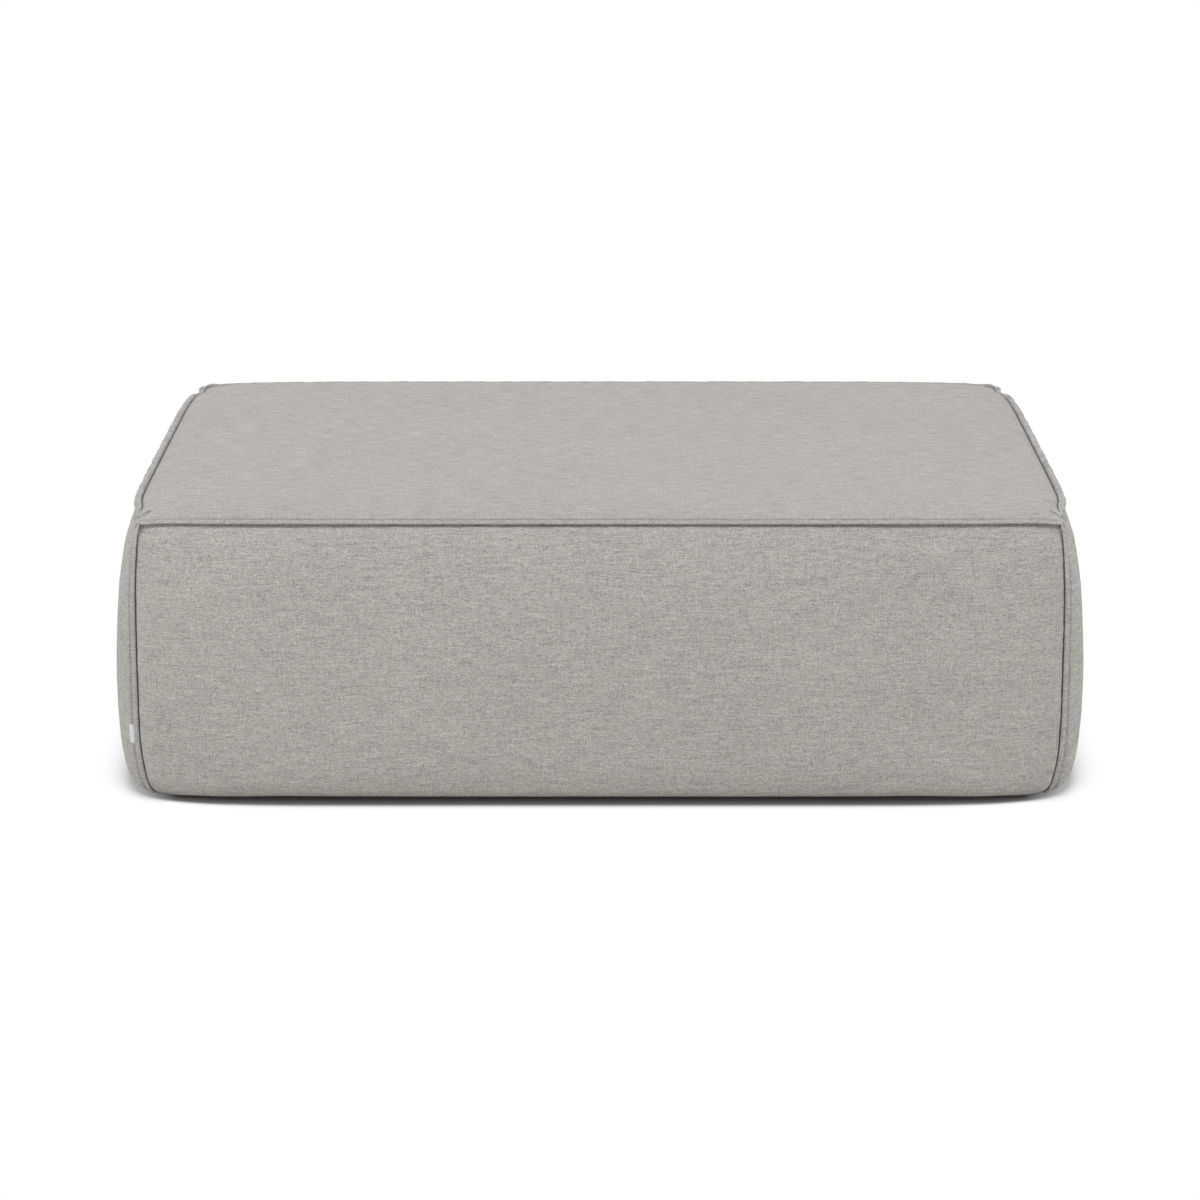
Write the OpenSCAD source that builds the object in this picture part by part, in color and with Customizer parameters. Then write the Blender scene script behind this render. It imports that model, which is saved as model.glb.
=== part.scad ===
// Upholstered ottoman: a sewn fabric cover over wadding and foam, on zigzag springs
// and a plywood box frame. The front faces -Y, the feet stand on z = 0, and the origin
// is the centre of the footprint. Layers are nested: each one is the cover's own shape
// moved inwards by its depth below the outer face.

/* [Overall] */
// Width across the padded ends
width = 1270; // [1050:5:1500]
// Depth across the padded front and back
depth = 955; // [760:5:1150]
// Height of the top seam at the corners
seam_height = 364; // [330:1:430]

/* [Padded shape] */
// How far the padded sides swell beyond their seams
side_bulge = 35; // [20:1:45]
// How far a top seam bows outwards at its middle
seam_bow = 15; // [8:0.5:20]
// How far a corner seam bows outwards at its middle
corner_bow = 10; // [4:0.5:12]
// How far a top seam lifts at its middle
seam_lift = 2; // [0:0.5:5]
// Rise of the top panel just inside its seams
crown = 15; // [8:0.5:24]
// Further rise of the top panel towards its middle
dome = 2; // [0:0.5:12]
// Depth below the top seam where the sides swell most
swell_depth = 205; // [150:5:230]
// How far the lower edge rolls in under the base
roll_under = 36; // [30:1:46]

/* [Cover] */
// Thickness of the cover fabric
fabric_t = 1.6; // [1:0.1:2.5]
// Width of the flat topstitched flange along each seam
flange_w = 9; // [6:0.5:12]
// Thickness of the folded flange
flange_t = 3; // [2:0.1:4]
// Width of the fabric turned in and stapled under the frame
turn_in = 75; // [60:1:95]
// Thickness of the woven dust cover under the base
dust_t = 1; // [0.6:0.1:2]
// How far the dust cover stops short of the frame's outer face
dust_margin = 12; // [6:1:18]

/* [Tag] */
// Height of the blank tag
tag_h = 26; // [16:1:34]
// How far the tag stands out of its seam
tag_w = 10; // [6:0.5:14]
// Thickness of the folded tag
tag_t = 1; // [0.6:0.1:1.6]
// Distance of the tag's middle below the top seam
tag_drop = 277; // [150:1:300]

/* [Padding] */
// Thickness of the fibre wadding
wadding_t = 10; // [6:0.5:14]
// Thickness of the seat foam at its middle
seat_foam = 110; // [70:1:150]
// Distance from a corner seam in to the frame's outer faces
frame_inset = 24; // [22:0.5:36]
// Least thickness of the side foam at its lower edge
foam_edge = 3; // [2:0.5:6]
// Height of the padding's lower edge above the turned-in fabric
padding_lift = 4; // [3:0.5:8]
// Thickness of the insulator felt on the springs
felt_t = 3; // [2:0.5:6]

/* [Frame] */
// Thickness of the plywood boards
board_t = 18; // [15:1:24]
// Width of the square corner posts
post_w = 60; // [54:1:76]
// Height of the spring rails
rail_h = 45; // [35:1:60]
// Thickness of the spring rails
rail_t = 30; // [24:1:40]
// Height of the cross braces
brace_h = 60; // [45:1:80]
// Thickness of the cross braces
brace_t = 25; // [20:1:32]
// Distance of each cross brace from the middle
brace_at = 190; // [120:5:260]

/* [Springs] */
// Number of zigzag springs
spring_count = 9; // [7:1:11]
// Diameter of the spring wire
wire_d = 3.8; // [3:0.1:4.5]
// Width of a zigzag spring across its loops
spring_w = 50; // [44:1:60]
// Spacing of the zigzag's runs
spring_pitch = 25; // [20:1:32]
// Distance between the outermost springs and the side boards
spring_margin = 70; // [60:1:100]
// Thickness of the spring clips' steel
clip_t = 1.2; // [1:0.1:1.6]
// Width of the spring clips
clip_w = 14; // [10:0.5:18]
// Length of a clip's plate behind the wire
clip_plate = 17; // [15:0.5:20]

/* [Feet and screws] */
// Height of the feet
foot_h = 11; // [8:0.5:20]
// Diameter of the feet at the top
foot_d = 50; // [40:1:56]
// Diameter of the feet's soles
sole_d = 44; // [34:1:50]
// Distance of the feet's centres from the frame's outer faces
foot_inset = 45; // [40:0.5:52]
// Shank diameter of the foot screws
foot_screw_d = 4.5; // [3.5:0.1:5]
// Length of the foot screws
foot_screw_l = 36; // [28:1:50]
// Shank diameter of the frame screws
screw_d = 4; // [3:0.1:5]
// Length of the frame screws
screw_l = 40; // [32:1:50]
// Shank diameter of the clip screws
clip_screw_d = 3; // [2.4:0.1:3.4]
// Length of the clip screws
clip_screw_l = 16; // [12:0.5:20]

/* [Fits] */
// Gap between layers of the soft upholstery
soft_gap = 0.4; // [0.3:0.05:0.6]
// Gap between two sewn panels along their seam
seam_gap = 0.3; // [0.2:0.05:0.5]
// Radial gap round a screw in its hole
hole_gap = 0.2; // [0.15:0.05:0.4]
// Gap round the spring wire in its clip
wire_gap = 0.1; // [0.05:0.05:0.3]

/* [Hidden] */
$fn = 32;

// Finish colours
fabric_colour = [0.70, 0.68, 0.65];
flange_colour = [0.66, 0.64, 0.61];
tag_colour = [0.86, 0.89, 0.91];
fibre_colour = [0.95, 0.95, 0.93];
foam_colour = [0.93, 0.88, 0.68];
felt_colour = [0.45, 0.45, 0.47];
cloth_colour = [0.13, 0.13, 0.13];
ply_colour = [0.82, 0.68, 0.48];
timber_colour = [0.74, 0.57, 0.37];
spring_colour = [0.35, 0.36, 0.38];
screw_colour = [0.75, 0.70, 0.50];
foot_colour = [0.10, 0.10, 0.10];

// Powers of the curves: a higher power runs straighter and turns in closer to the ends
bulge_pow = 8.7;
upper_pow = 1.5;
lower_pow = 8.5;
seam_pow = 6.5;
corner_pow = 4.4;
crown_pow = 18;
dome_pow = 2;

// Half sizes of the rectangle that the corner seams stand on
half_x = width / 2 - seam_bow - side_bulge;
half_y = depth / 2 - seam_bow - side_bulge;

// Levels, from the floor up
base_z = foot_h + dust_t;
side_h = seam_height - base_z;
frame_z = base_z + fabric_t + soft_gap;
wadding_d = fabric_t + soft_gap;
foam_d = wadding_d + wadding_t + soft_gap;
foam_top = seam_height + seam_lift + crown + dome - foam_d;
board_top = foam_top - seat_foam;
felt_z = board_top - felt_t;
clip_h = 2 * clip_t + wire_d + 2 * wire_gap;
rail_top = felt_z - soft_gap - clip_h;
wire_z = rail_top + clip_t + wire_gap + wire_d / 2;
frame_x = half_x - frame_inset;
frame_y = half_y - frame_inset;

// How finely each soft face is divided: columns along it and rows down it
cols_x = 20;
cols_y = 16;
upper_rows = 6;
roll_angles = [6, 22, 40, 56, 72, 84, 90];
last_row = upper_rows + len(roll_angles) + 1;

// A curve that leaves its ends like a circle, and one that leaves them at a slope
function swell(s, p) = sqrt(max(0, 1 - pow(abs(s), p)));
function bow(s, p) = 1 - pow(abs(s), p);

// Share of the half length at which a face that swells by `rise` lies one flange width in
function flange_share(rise, p, half) =
    let (k = rise * rise * p)
    (sqrt(k * k + 4 * pow(half * flange_w, 2)) - k) / (2 * half * half);

// Places from -1 to 1: both ends, one flange width in from each, and closer near them
function spread(i, n, share) = i == 0 ? -1 : i == n ? 1
    : (1 - share) * sin(90 * (2 * (i - 1) / (n - 2) - 1));

// Top panel, d below its outer face. u runs along X and w along Y, each from -1 to 1
function top_point(u, w, d) = [
    u * (half_x - d + seam_bow * bow(w, seam_pow)),
    w * (half_y - d + seam_bow * bow(u, seam_pow)),
    seam_height - d + seam_lift * (1 - (1 - bow(u, seam_pow)) * (1 - bow(w, seam_pow)))
        + crown * swell(u, crown_pow) * swell(w, crown_pow)
        + dome * bow(u, dome_pow) * bow(w, dome_pow)];

function top_u(i) = spread(i, cols_x, flange_share(crown, crown_pow, half_x));
function top_w(i, j) = spread(j, cols_y,
    flange_share(crown * swell(top_u(i), crown_pow), crown_pow, half_y));

// Grid of the top panel, from the back row to the front row, drawn in all round by `trim`
function top_grid(cols, rows, d, trim) = [for (j = rows) [for (i = cols)
    let (p = top_point(top_u(i), -top_w(i, j), d))
    [p[0] * (1 - trim / half_x), p[1] * (1 - trim / half_y), p[2]]]];

// Share of the full swell at a depth below the top seam
lower_depth = side_h - swell_depth;
function profile(drop) = drop < swell_depth ? swell(1 - drop / swell_depth, upper_pow)
    : pow(max(0, 1 - pow((drop - swell_depth) / lower_depth, lower_pow)), 1 / lower_pow);

// Side panel seen from the front, d below its outer face. v runs along it from -1 to 1,
// s holds its half sizes, `lift` raises its foot, and it stays `hold` outside the frame
function side_point(v, drop, s, d, lift, hold) =
    let (share = drop / side_h,
        straight = 1 - bow(v, seam_pow),
        full = profile(drop),
        roll = drop > swell_depth ? roll_under * (1 - full) : 0,
        corner = corner_bow * bow(1 - 2 * share, corner_pow),
        reach = side_bulge * swell(v, bulge_pow) * full - roll
            + seam_bow * (1 - straight) + corner * straight)
    [v * max(s[1] - d + corner - roll, s[1] - frame_inset + hold),
        -max(s[2] - d + reach, s[2] - frame_inset + hold),
        seam_height - d + seam_lift * (1 - straight) * (1 - share)
            - share * (side_h - 2 * d - lift)];

// Depth of a row of a side panel, and place along it of a column at that row
function row_drop(v, j) = j == 0 ? 0
    : j > upper_rows ? swell_depth + lower_depth
        * pow(sin(roll_angles[j - upper_rows - 1]), 2 / lower_pow)
    : let (first = flange_share(side_bulge * swell(v, bulge_pow), upper_pow, swell_depth))
        swell_depth * (first + (1 - first) * pow((j - 1) / (upper_rows - 1), 1.6));
function side_v(i, j, s) = spread(i, s[3],
    flange_share(side_bulge * profile(row_drop(0, min(j, last_row - 1))), bulge_pow, s[1]));

// Grid of a side panel, from the top seam down, with each end drawn in by `trim`
function ends_in(p, trim, s) = [p[0] * (1 - trim / s[1]), p[1], p[2]];
function side_grid(cols, rows, s, d, lift, hold, trim) = [for (j = rows) [for (i = cols)
    ends_in(side_point(side_v(i, j, s), row_drop(spread(i, s[3], flange_w / s[1]), j),
        s, d, lift, hold), trim, s)]];

// Edge of the fabric turned in under the frame, in the same columns as the side panel
function turned_edge(cols, s, d, trim) = [for (i = cols) ends_in(
    [side_v(i, last_row - 1, s) * (s[1] - frame_inset - turn_in),
        -(s[2] - frame_inset - turn_in), base_z + d], trim, s)];

// Closed sheet between two grids of equal size. Rows run down and columns to the right,
// both seen from outside
module sheet(outer, inner) {
    rows = len(outer);
    cols = len(outer[0]);
    all = rows * cols;
    function at(r, c) = r * cols + c;
    faces = concat(
        [for (r = [0:rows - 2]) for (c = [0:cols - 2]) each [
            [at(r, c), at(r, c + 1), at(r + 1, c + 1)],
            [at(r, c), at(r + 1, c + 1), at(r + 1, c)],
            [all + at(r, c), all + at(r + 1, c + 1), all + at(r, c + 1)],
            [all + at(r, c), all + at(r + 1, c), all + at(r + 1, c + 1)]]],
        [for (c = [0:cols - 2]) each [
            [at(0, c + 1), at(0, c), all + at(0, c)],
            [at(0, c + 1), all + at(0, c), all + at(0, c + 1)],
            [at(rows - 1, c), at(rows - 1, c + 1), all + at(rows - 1, c + 1)],
            [at(rows - 1, c), all + at(rows - 1, c + 1), all + at(rows - 1, c)]]],
        [for (r = [0:rows - 2]) each [
            [at(r, 0), at(r + 1, 0), all + at(r + 1, 0)],
            [at(r, 0), all + at(r + 1, 0), all + at(r, 0)],
            [at(r + 1, cols - 1), at(r, cols - 1), all + at(r, cols - 1)],
            [at(r + 1, cols - 1), all + at(r, cols - 1), all + at(r + 1, cols - 1)]]]);
    polyhedron(concat([for (r = outer) each r], [for (r = inner) each r]), faces, convexity = 6);
}

// Closed bar through a list of rings of equal size
module bar(rings) {
    n = len(rings[0]);
    last = (len(rings) - 1) * n;
    faces = concat(
        [for (r = [0:len(rings) - 2]) for (k = [0:n - 1]) each [
            [r * n + k, (r + 1) * n + k, (r + 1) * n + (k + 1) % n],
            [r * n + k, (r + 1) * n + (k + 1) % n, r * n + (k + 1) % n]]],
        [for (k = [1:n - 2]) each [
            [0, k, k + 1],
            [last, last + k + 1, last + k]]]);
    polyhedron([for (r = rings) each r], faces, convexity = 6);
}

function unit(v) = v / norm(v);

// One cross-section of a flange lying on a face: `seam` is its place on the seam, `inner`
// the place one flange width in, and `run` points along the seam
function flange_ring(seam, inner, run) =
    let (across = unit(inner - seam),
        up = unit(cross(run, across)),
        lip = 0.3 * flange_t)
    [for (p = [[soft_gap, soft_gap], [flange_w - soft_gap, soft_gap],
            [flange_w - soft_gap, soft_gap + flange_t - lip],
            [flange_w - soft_gap - lip, soft_gap + flange_t],
            [soft_gap + lip, soft_gap + flange_t], [soft_gap, soft_gap + flange_t - lip]])
        seam + p[0] * across + p[1] * up];

// The four sides, as the front seen after a turn. Each has its own half sizes and columns
sides = [[0, half_x, half_y, cols_x], [90, half_y, half_x, cols_y],
    [180, half_x, half_y, cols_x], [270, half_y, half_x, cols_y]];
function steps(n) = [for (i = [0:n]) i];
function every_second(n) = concat([0], [for (i = [1:2:n - 1]) i], [n]);

module cover_side(k) {
    s = sides[k];
    cols = steps(s[3]);
    rows = steps(last_row - 1);
    color(fabric_colour) rotate([0, 0, s[0]]) difference() {
        sheet(
            concat(side_grid(cols, rows, s, 0, 0, -turn_in, seam_gap),
                [turned_edge(cols, s, 0, seam_gap)]),
            concat(side_grid(cols, rows, s, fabric_t, 0, -turn_in, seam_gap),
                [turned_edge(cols, s, fabric_t, seam_gap)]));
        foot_screw_holes(s[1] - frame_inset, s[2] - frame_inset);
    }
}

module cover_top() color(fabric_colour)
    sheet(top_grid(steps(cols_x), steps(cols_y), 0, seam_gap),
        top_grid(steps(cols_x), steps(cols_y), fabric_t, seam_gap));

// Flange on the top panel, along its front edge before the turn
module flange_on_top(turn) color(flange_colour) rotate([0, 0, turn]) {
    front = top_grid(steps(cols_x), [cols_y - 1, cols_y], 0, 0);
    bar([for (i = [0:cols_x]) flange_ring(front[1][i], front[0][i],
        front[1][min(i + 1, cols_x)] - front[1][max(i - 1, 0)])]);
}

// Flange on an end panel, along its top edge
module flange_on_side(k) {
    s = sides[k];
    n = s[3];
    edge = side_grid(steps(n), [0, 1], s, 0, 0, -turn_in, 0);
    color(flange_colour) rotate([0, 0, s[0]])
        bar([for (i = [n:-1:0]) flange_ring(edge[0][i], edge[1][i],
            edge[0][max(i - 1, 0)] - edge[0][min(i + 1, n)])]);
}

// Flange on an end panel, down its left or right edge
module flange_on_corner(k, right) {
    s = sides[k];
    n = s[3];
    pair = right ? [n, n - 1] : [0, 1];
    edge = side_grid(pair, [for (j = [1:last_row - 2]) j], s, 0, 0, -turn_in, 0);
    last = len(edge) - 1;
    rings = [for (j = [0:last]) flange_ring(edge[j][0], edge[j][1],
        (right ? 1 : -1) * (edge[max(j - 1, 0)][0] - edge[min(j + 1, last)][0]))];
    color(flange_colour) rotate([0, 0, s[0]])
        bar(right ? [for (j = [last:-1:0]) rings[j]] : rings);
}

// Blank folded tag sewn in under the front flange of the left end, flat on the end panel
module side_tag() {
    s = sides[3];
    share = flange_share(side_bulge * profile(tag_drop), bulge_pow, s[1]);
    reach = tag_w / flange_w * 2 * share;
    rings = [for (end = [-0.5, 0.5]) let (drop = tag_drop + end * tag_h,
            near = side_point(1 - share, drop, s, 0, 0, -turn_in),
            far = side_point(1 - share - reach, drop, s, 0, 0, -turn_in),
            across = unit(far - near),
            up = unit(cross([0, 0, 1], across)))
        [for (p = [[0, 0], [tag_w, 0], [tag_w, tag_t], [0, tag_t]])
            near + (p[0] + soft_gap) * across + (p[1] + soft_gap) * up]];
    color(tag_colour) rotate([0, 0, s[0]]) bar([rings[1], rings[0]]);
}

module dust_cover() {
    size = [2 * (frame_x - dust_margin), 2 * (frame_y - dust_margin), dust_t];
    color(cloth_colour) difference() {
        translate([-size[0] / 2, -size[1] / 2, foot_h]) cube(size);
        foot_screw_holes(frame_x, frame_y);
    }
}

// Fewer rows and columns on the hidden layers, all of them among the cover's own
hidden_rows = [0, 1, 3, 5, upper_rows + 1, upper_rows + 3, upper_rows + 4, upper_rows + 6];

function layer_grid(s, d, hold) = side_grid(every_second(s[3]), hidden_rows, s, d,
    padding_lift, hold, seam_gap);

module wadding_side(k) {
    s = sides[k];
    inner_hold = foam_edge + 2 * soft_gap;
    color(fibre_colour) rotate([0, 0, s[0]]) sheet(
        layer_grid(s, wadding_d, inner_hold + wadding_t),
        layer_grid(s, wadding_d + wadding_t, inner_hold));
}

module wadding_top() {
    cols = every_second(cols_x);
    rows = every_second(cols_y);
    color(fibre_colour) sheet(top_grid(cols, rows, wadding_d, seam_gap),
        top_grid(cols, rows, wadding_d + wadding_t, seam_gap));
}

// Side foam: shaped outside, and flat where it lies on the board and the seat foam
module foam_side(k) {
    s = sides[k];
    cols = every_second(s[3]);
    outer = layer_grid(s, foam_d, foam_edge + soft_gap);
    inner = [for (j = [0:len(outer) - 1]) [for (i = [0:len(cols) - 1]) ends_in(
        [side_v(cols[i], hidden_rows[j], s) * (s[1] - frame_inset),
            -(s[2] - frame_inset + soft_gap), outer[j][i][2]], seam_gap, s)]];
    color(foam_colour) rotate([0, 0, s[0]]) sheet(outer, inner);
}

// The seat foam keeps the top panel's shape inside the frame's outline. Each column and row
// stops a little short of the one outside it
edge_step = 3;
function held_in(p, limit, i, n) = sign(p) * min(abs(p), limit - edge_step * (min(i, n - i) - 1));

module seat_foam_block() {
    outer = [for (j = [1:2:cols_y - 1]) [for (i = [1:2:cols_x - 1])
        let (p = top_point(top_u(i), -top_w(i, j), foam_d))
        [held_in(p[0], frame_x, i, cols_x), held_in(p[1], frame_y, j, cols_y), p[2]]]];
    color(foam_colour) sheet(outer, [for (row = outer) [for (p = row) [p[0], p[1], board_top]]]);
}

module insulator_felt() {
    size = [2 * (frame_x - board_t - soft_gap), 2 * (frame_y - board_t - soft_gap), felt_t];
    color(felt_colour) translate([-size[0] / 2, -size[1] / 2, felt_z]) cube(size);
}

// Springs run from front to back, with their first and last runs held on the rails. Each
// run's spacing is a whole number of fiftieths of a millimetre, so that the bends meet
rail_span = 2 * (frame_y - board_t - rail_t / 2);
spring_runs = 2 * round(rail_span / spring_pitch / 2);
run_gap = floor(50 * rail_span / (spring_runs - 1)) / 50;
spring_span = (spring_runs - 1) * run_gap;
function spring_x(i) = (i / (spring_count - 1) - 0.5)
    * 2 * (frame_x - board_t - spring_margin);

module spring(i) color(spring_colour) translate([spring_x(i), -spring_span / 2, wire_z]) {
    straight = spring_w - run_gap - wire_d;
    for (r = [0:spring_runs - 1])
        translate([-straight / 2, r * run_gap, 0]) rotate([0, 90, 0])
            cylinder(d = wire_d, h = straight);
    for (r = [0:spring_runs - 2]) {
        side = r % 2 == 0 ? 1 : -1;
        translate([side * straight / 2, (r + 0.5) * run_gap, 0])
            rotate([0, 0, side > 0 ? -90 : 90])
                rotate_extrude(angle = 180) translate([run_gap / 2, 0]) circle(d = wire_d);
    }
}

// Clip places, each with the way its plate points
clip_sites = [for (i = [0:spring_count - 1]) for (end = [-1, 1])
    [spring_x(i), end * spring_span / 2, end]];

// Steel clip: a plate on the rail that curls over the wire
module clip() rotate([90, 0, 90]) translate([0, 0, -clip_w / 2]) linear_extrude(clip_w) {
    bore = wire_d + 2 * wire_gap;
    lift = clip_t + bore / 2;
    difference() {
        translate([0, lift]) circle(d = bore + 2 * clip_t);
        translate([0, lift]) circle(d = bore);
        translate([0, lift - bore]) square([bore + clip_t, bore]);
    }
    translate([-clip_plate / 2 - bore / 4, 0]) square([clip_plate / 2 + bore / 4, clip_t]);
}

clip_hole_at = clip_plate / 2 - clip_screw_d / 2;
module at_clips() for (c = clip_sites)
    translate([c[0], c[1], rail_top]) rotate([0, 0, c[2] > 0 ? 180 : 0]) children();

module spring_clips() color(spring_colour) at_clips() difference() {
    clip();
    translate([0, -clip_hole_at, -clip_t]) cylinder(d = clip_screw_d + 2 * hole_gap, h = 3 * clip_t);
}

// Pan-head screw, head up, with its seat at z = 0
module pan_screw(d, l) {
    translate([0, 0, -l]) cylinder(d = d, h = l);
    cylinder(d = 1.7 * d, h = 0.4 * d);
}

module clip_screws() color(screw_colour) at_clips() translate([0, -clip_hole_at, clip_t])
    pan_screw(clip_screw_d, clip_screw_l);

module clip_screw_holes() at_clips() translate([0, -clip_hole_at, 0]) mirror([0, 0, 1])
    cylinder(d = clip_screw_d + 2 * hole_gap, h = clip_screw_l);

// Frame screws: [place on a board's outer face, turn], with the screw pointing inwards
post_mid = board_t + post_w / 2;
post_h = rail_top - rail_h - frame_z;
post_screw_z = [for (t = [0.2, 0.75]) frame_z + t * post_h];
screw_step = 3 * screw_d;
rail_screw_z = rail_top - rail_h / 2;
brace_screw_z = [for (t = [0.25, 0.75]) frame_z + t * brace_h];
function side_screws(k) = let (long = k % 2 == 0, x = sides[k][1] - frame_inset,
        y = -(sides[k][2] - frame_inset), shift = long ? 0 : screw_step) concat(
    [for (e = [-1, 1]) for (z = post_screw_z) [e * (x - post_mid), y, z + shift]],
    [for (t = long ? [-0.6, -0.2, 0.2, 0.6] : [-0.5, 0, 0.5]) [t * x, y, rail_screw_z]],
    long ? [for (e = [-1, 1]) for (z = brace_screw_z) [e * brace_at, y, z]] : []);
module at_frame_screws() for (k = [0:3]) rotate([0, 0, sides[k][0]])
    for (p = side_screws(k)) translate(p) rotate([90, 0, 0]) children();

// Countersunk screw with its head flush at z = 0
module sunk_screw(d, l, room) {
    translate([0, 0, -l - room]) cylinder(d = d + 2 * room, h = l + 2 * room);
    translate([0, 0, -0.5 * d]) cylinder(d1 = d + 2 * room, d2 = 2 * d + 2 * room, h = 0.5 * d);
}
module frame_screws() color(screw_colour) at_frame_screws() sunk_screw(screw_d, screw_l, 0);
module frame_screw_holes() at_frame_screws() sunk_screw(screw_d, screw_l, hole_gap);

// Boards: front and back run the full width, and the ends fit between them
module board(k) {
    s = sides[k];
    reach = s[1] - frame_inset - (k % 2 == 0 ? 0 : board_t);
    color(ply_colour) difference() {
        rotate([0, 0, s[0]]) translate([-reach, -(s[2] - frame_inset), frame_z])
            cube([2 * reach, board_t, board_top - frame_z]);
        frame_screw_holes();
    }
}

// Rails: front and back carry the springs and run between the end boards
module rail(k) {
    s = sides[k];
    reach = s[1] - frame_inset - board_t - (k % 2 == 0 ? 0 : rail_t);
    color(timber_colour) difference() {
        rotate([0, 0, s[0]]) translate([-reach, -(s[2] - frame_inset - board_t), rail_top - rail_h])
            cube([2 * reach, rail_t, rail_h]);
        frame_screw_holes();
        clip_screw_holes();
    }
}

// Corners in the order of the sides that they end
corners = [[1, -1], [1, 1], [-1, 1], [-1, -1]];

module post(k) color(timber_colour) difference() {
    translate([corners[k][0] * (frame_x - post_mid), corners[k][1] * (frame_y - post_mid),
            frame_z + post_h / 2])
        cube([post_w, post_w, post_h], center = true);
    frame_screw_holes();
    foot_screw_holes(frame_x, frame_y);
}

module brace(side) color(timber_colour) difference() {
    long = 2 * (frame_y - board_t);
    translate([side * brace_at - brace_t / 2, -long / 2, frame_z]) cube([brace_t, long, brace_h]);
    frame_screw_holes();
}

// Foot: a moulded glide with a recessed screw seat
seat_z = foot_h / 2;
recess_d = 2.4 * foot_screw_d;
module foot_body() difference() {
    cylinder(d1 = sole_d, d2 = foot_d, h = foot_h);
    translate([0, 0, -1]) cylinder(d = foot_screw_d + 2 * hole_gap, h = foot_h + 2);
    translate([0, 0, -1]) cylinder(d = recess_d, h = seat_z + 1);
}
module foot(k) color(foot_colour)
    translate([corners[k][0] * (frame_x - foot_inset), corners[k][1] * (frame_y - foot_inset), 0])
        foot_body();

module foot_screws() color(screw_colour) for (c = corners)
    translate([c[0] * (frame_x - foot_inset), c[1] * (frame_y - foot_inset), seat_z])
        mirror([0, 0, 1]) pan_screw(foot_screw_d, foot_screw_l);

module foot_screw_holes(x, y) for (c = corners)
    translate([c[0] * (x - foot_inset), c[1] * (y - foot_inset), 0])
        cylinder(d = foot_screw_d + 2 * hole_gap, h = seat_z + foot_screw_l + hole_gap);

cover_top();
cover_side(0);  // cover_front
cover_side(1);  // cover_right
cover_side(2);  // cover_back
cover_side(3);  // cover_left
flange_on_top(0);  // flange_top_front
flange_on_side(1);  // flange_top_right
flange_on_top(180);  // flange_top_back
flange_on_side(3);  // flange_top_left
flange_on_corner(1, false);  // flange_corner_front_right
flange_on_corner(1, true);  // flange_corner_back_right
flange_on_corner(3, false);  // flange_corner_back_left
flange_on_corner(3, true);  // flange_corner_front_left
side_tag();
dust_cover();
wadding_top();
wadding_side(0);  // wadding_front
wadding_side(1);  // wadding_right
wadding_side(2);  // wadding_back
wadding_side(3);  // wadding_left
seat_foam_block();
foam_side(0);  // foam_front
foam_side(1);  // foam_right
foam_side(2);  // foam_back
foam_side(3);  // foam_left
insulator_felt();
for (i = [1:spring_count]) spring(i - 1);
spring_clips();
clip_screws();
board(0);  // board_front
board(1);  // board_right
board(2);  // board_back
board(3);  // board_left
post(0);  // post_front_right
post(1);  // post_back_right
post(2);  // post_back_left
post(3);  // post_front_left
rail(0);  // rail_front
rail(1);  // rail_right
rail(2);  // rail_back
rail(3);  // rail_left
brace(-1);  // brace_left
brace(1);  // brace_right
frame_screws();
foot(0);  // foot_front_right
foot(1);  // foot_back_right
foot(2);  // foot_back_left
foot(3);  // foot_front_left
foot_screws();
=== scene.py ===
import math

import bpy
import numpy as np
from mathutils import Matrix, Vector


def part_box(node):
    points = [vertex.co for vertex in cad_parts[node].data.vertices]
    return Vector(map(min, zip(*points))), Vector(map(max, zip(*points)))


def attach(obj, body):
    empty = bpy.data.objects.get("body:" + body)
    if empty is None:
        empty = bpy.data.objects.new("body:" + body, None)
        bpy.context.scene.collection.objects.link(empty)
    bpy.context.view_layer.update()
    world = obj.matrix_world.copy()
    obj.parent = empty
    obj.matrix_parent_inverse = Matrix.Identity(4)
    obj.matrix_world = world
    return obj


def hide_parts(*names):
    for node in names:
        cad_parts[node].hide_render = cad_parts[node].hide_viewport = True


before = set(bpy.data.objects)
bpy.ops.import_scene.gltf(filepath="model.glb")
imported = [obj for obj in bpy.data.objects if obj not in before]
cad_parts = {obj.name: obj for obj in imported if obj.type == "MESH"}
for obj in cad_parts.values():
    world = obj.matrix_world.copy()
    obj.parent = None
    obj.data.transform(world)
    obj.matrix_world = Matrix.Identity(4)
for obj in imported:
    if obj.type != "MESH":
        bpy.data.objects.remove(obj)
scene = bpy.context.scene
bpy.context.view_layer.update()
print("frame loaded,", len(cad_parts), "parts")

mm = 0.001

# The padded form, read off the frame where it can be. Metres, front towards -Y
form = {
    "seamHeight": 0.364,      # top seam at the corners
    "sideBulge": 0.035,       # the sides swell this far beyond their seams
    "seamBow": 0.015,         # top seams bow out at their middles
    "cornerBow": 0.010,       # corner seams bow out at mid height
    "seamLift": 0.002,        # top seams lift at their middles
    "crown": 0.015,           # the top rises this much just inside its seams
    "dome": 0.002,            # and this much more towards its middle
    "swellDepth": 0.205,      # the sides are fullest this far below the top seam
    "rollUnder": 0.036,       # the lower edge rolls in this far
    "frameInset": 0.024,      # the frame's faces stand this far inside the corner seams
    "turnIn": 0.075,          # fabric turned in under the frame
    "fabric": 0.0016,         # thickness of the cover
    # powers of the curves: the higher, the squarer
    "bulgePow": 8.7, "upperPow": 1.5, "lowerPow": 8.5,
    "seamPow": 6.5, "cornerPow": 4.4, "crownPow": 18, "domePow": 2,
}
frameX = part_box("board_right")[1].x
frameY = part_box("board_back")[1].y
halfX = frameX + form["frameInset"]
halfY = frameY + form["frameInset"]
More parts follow.
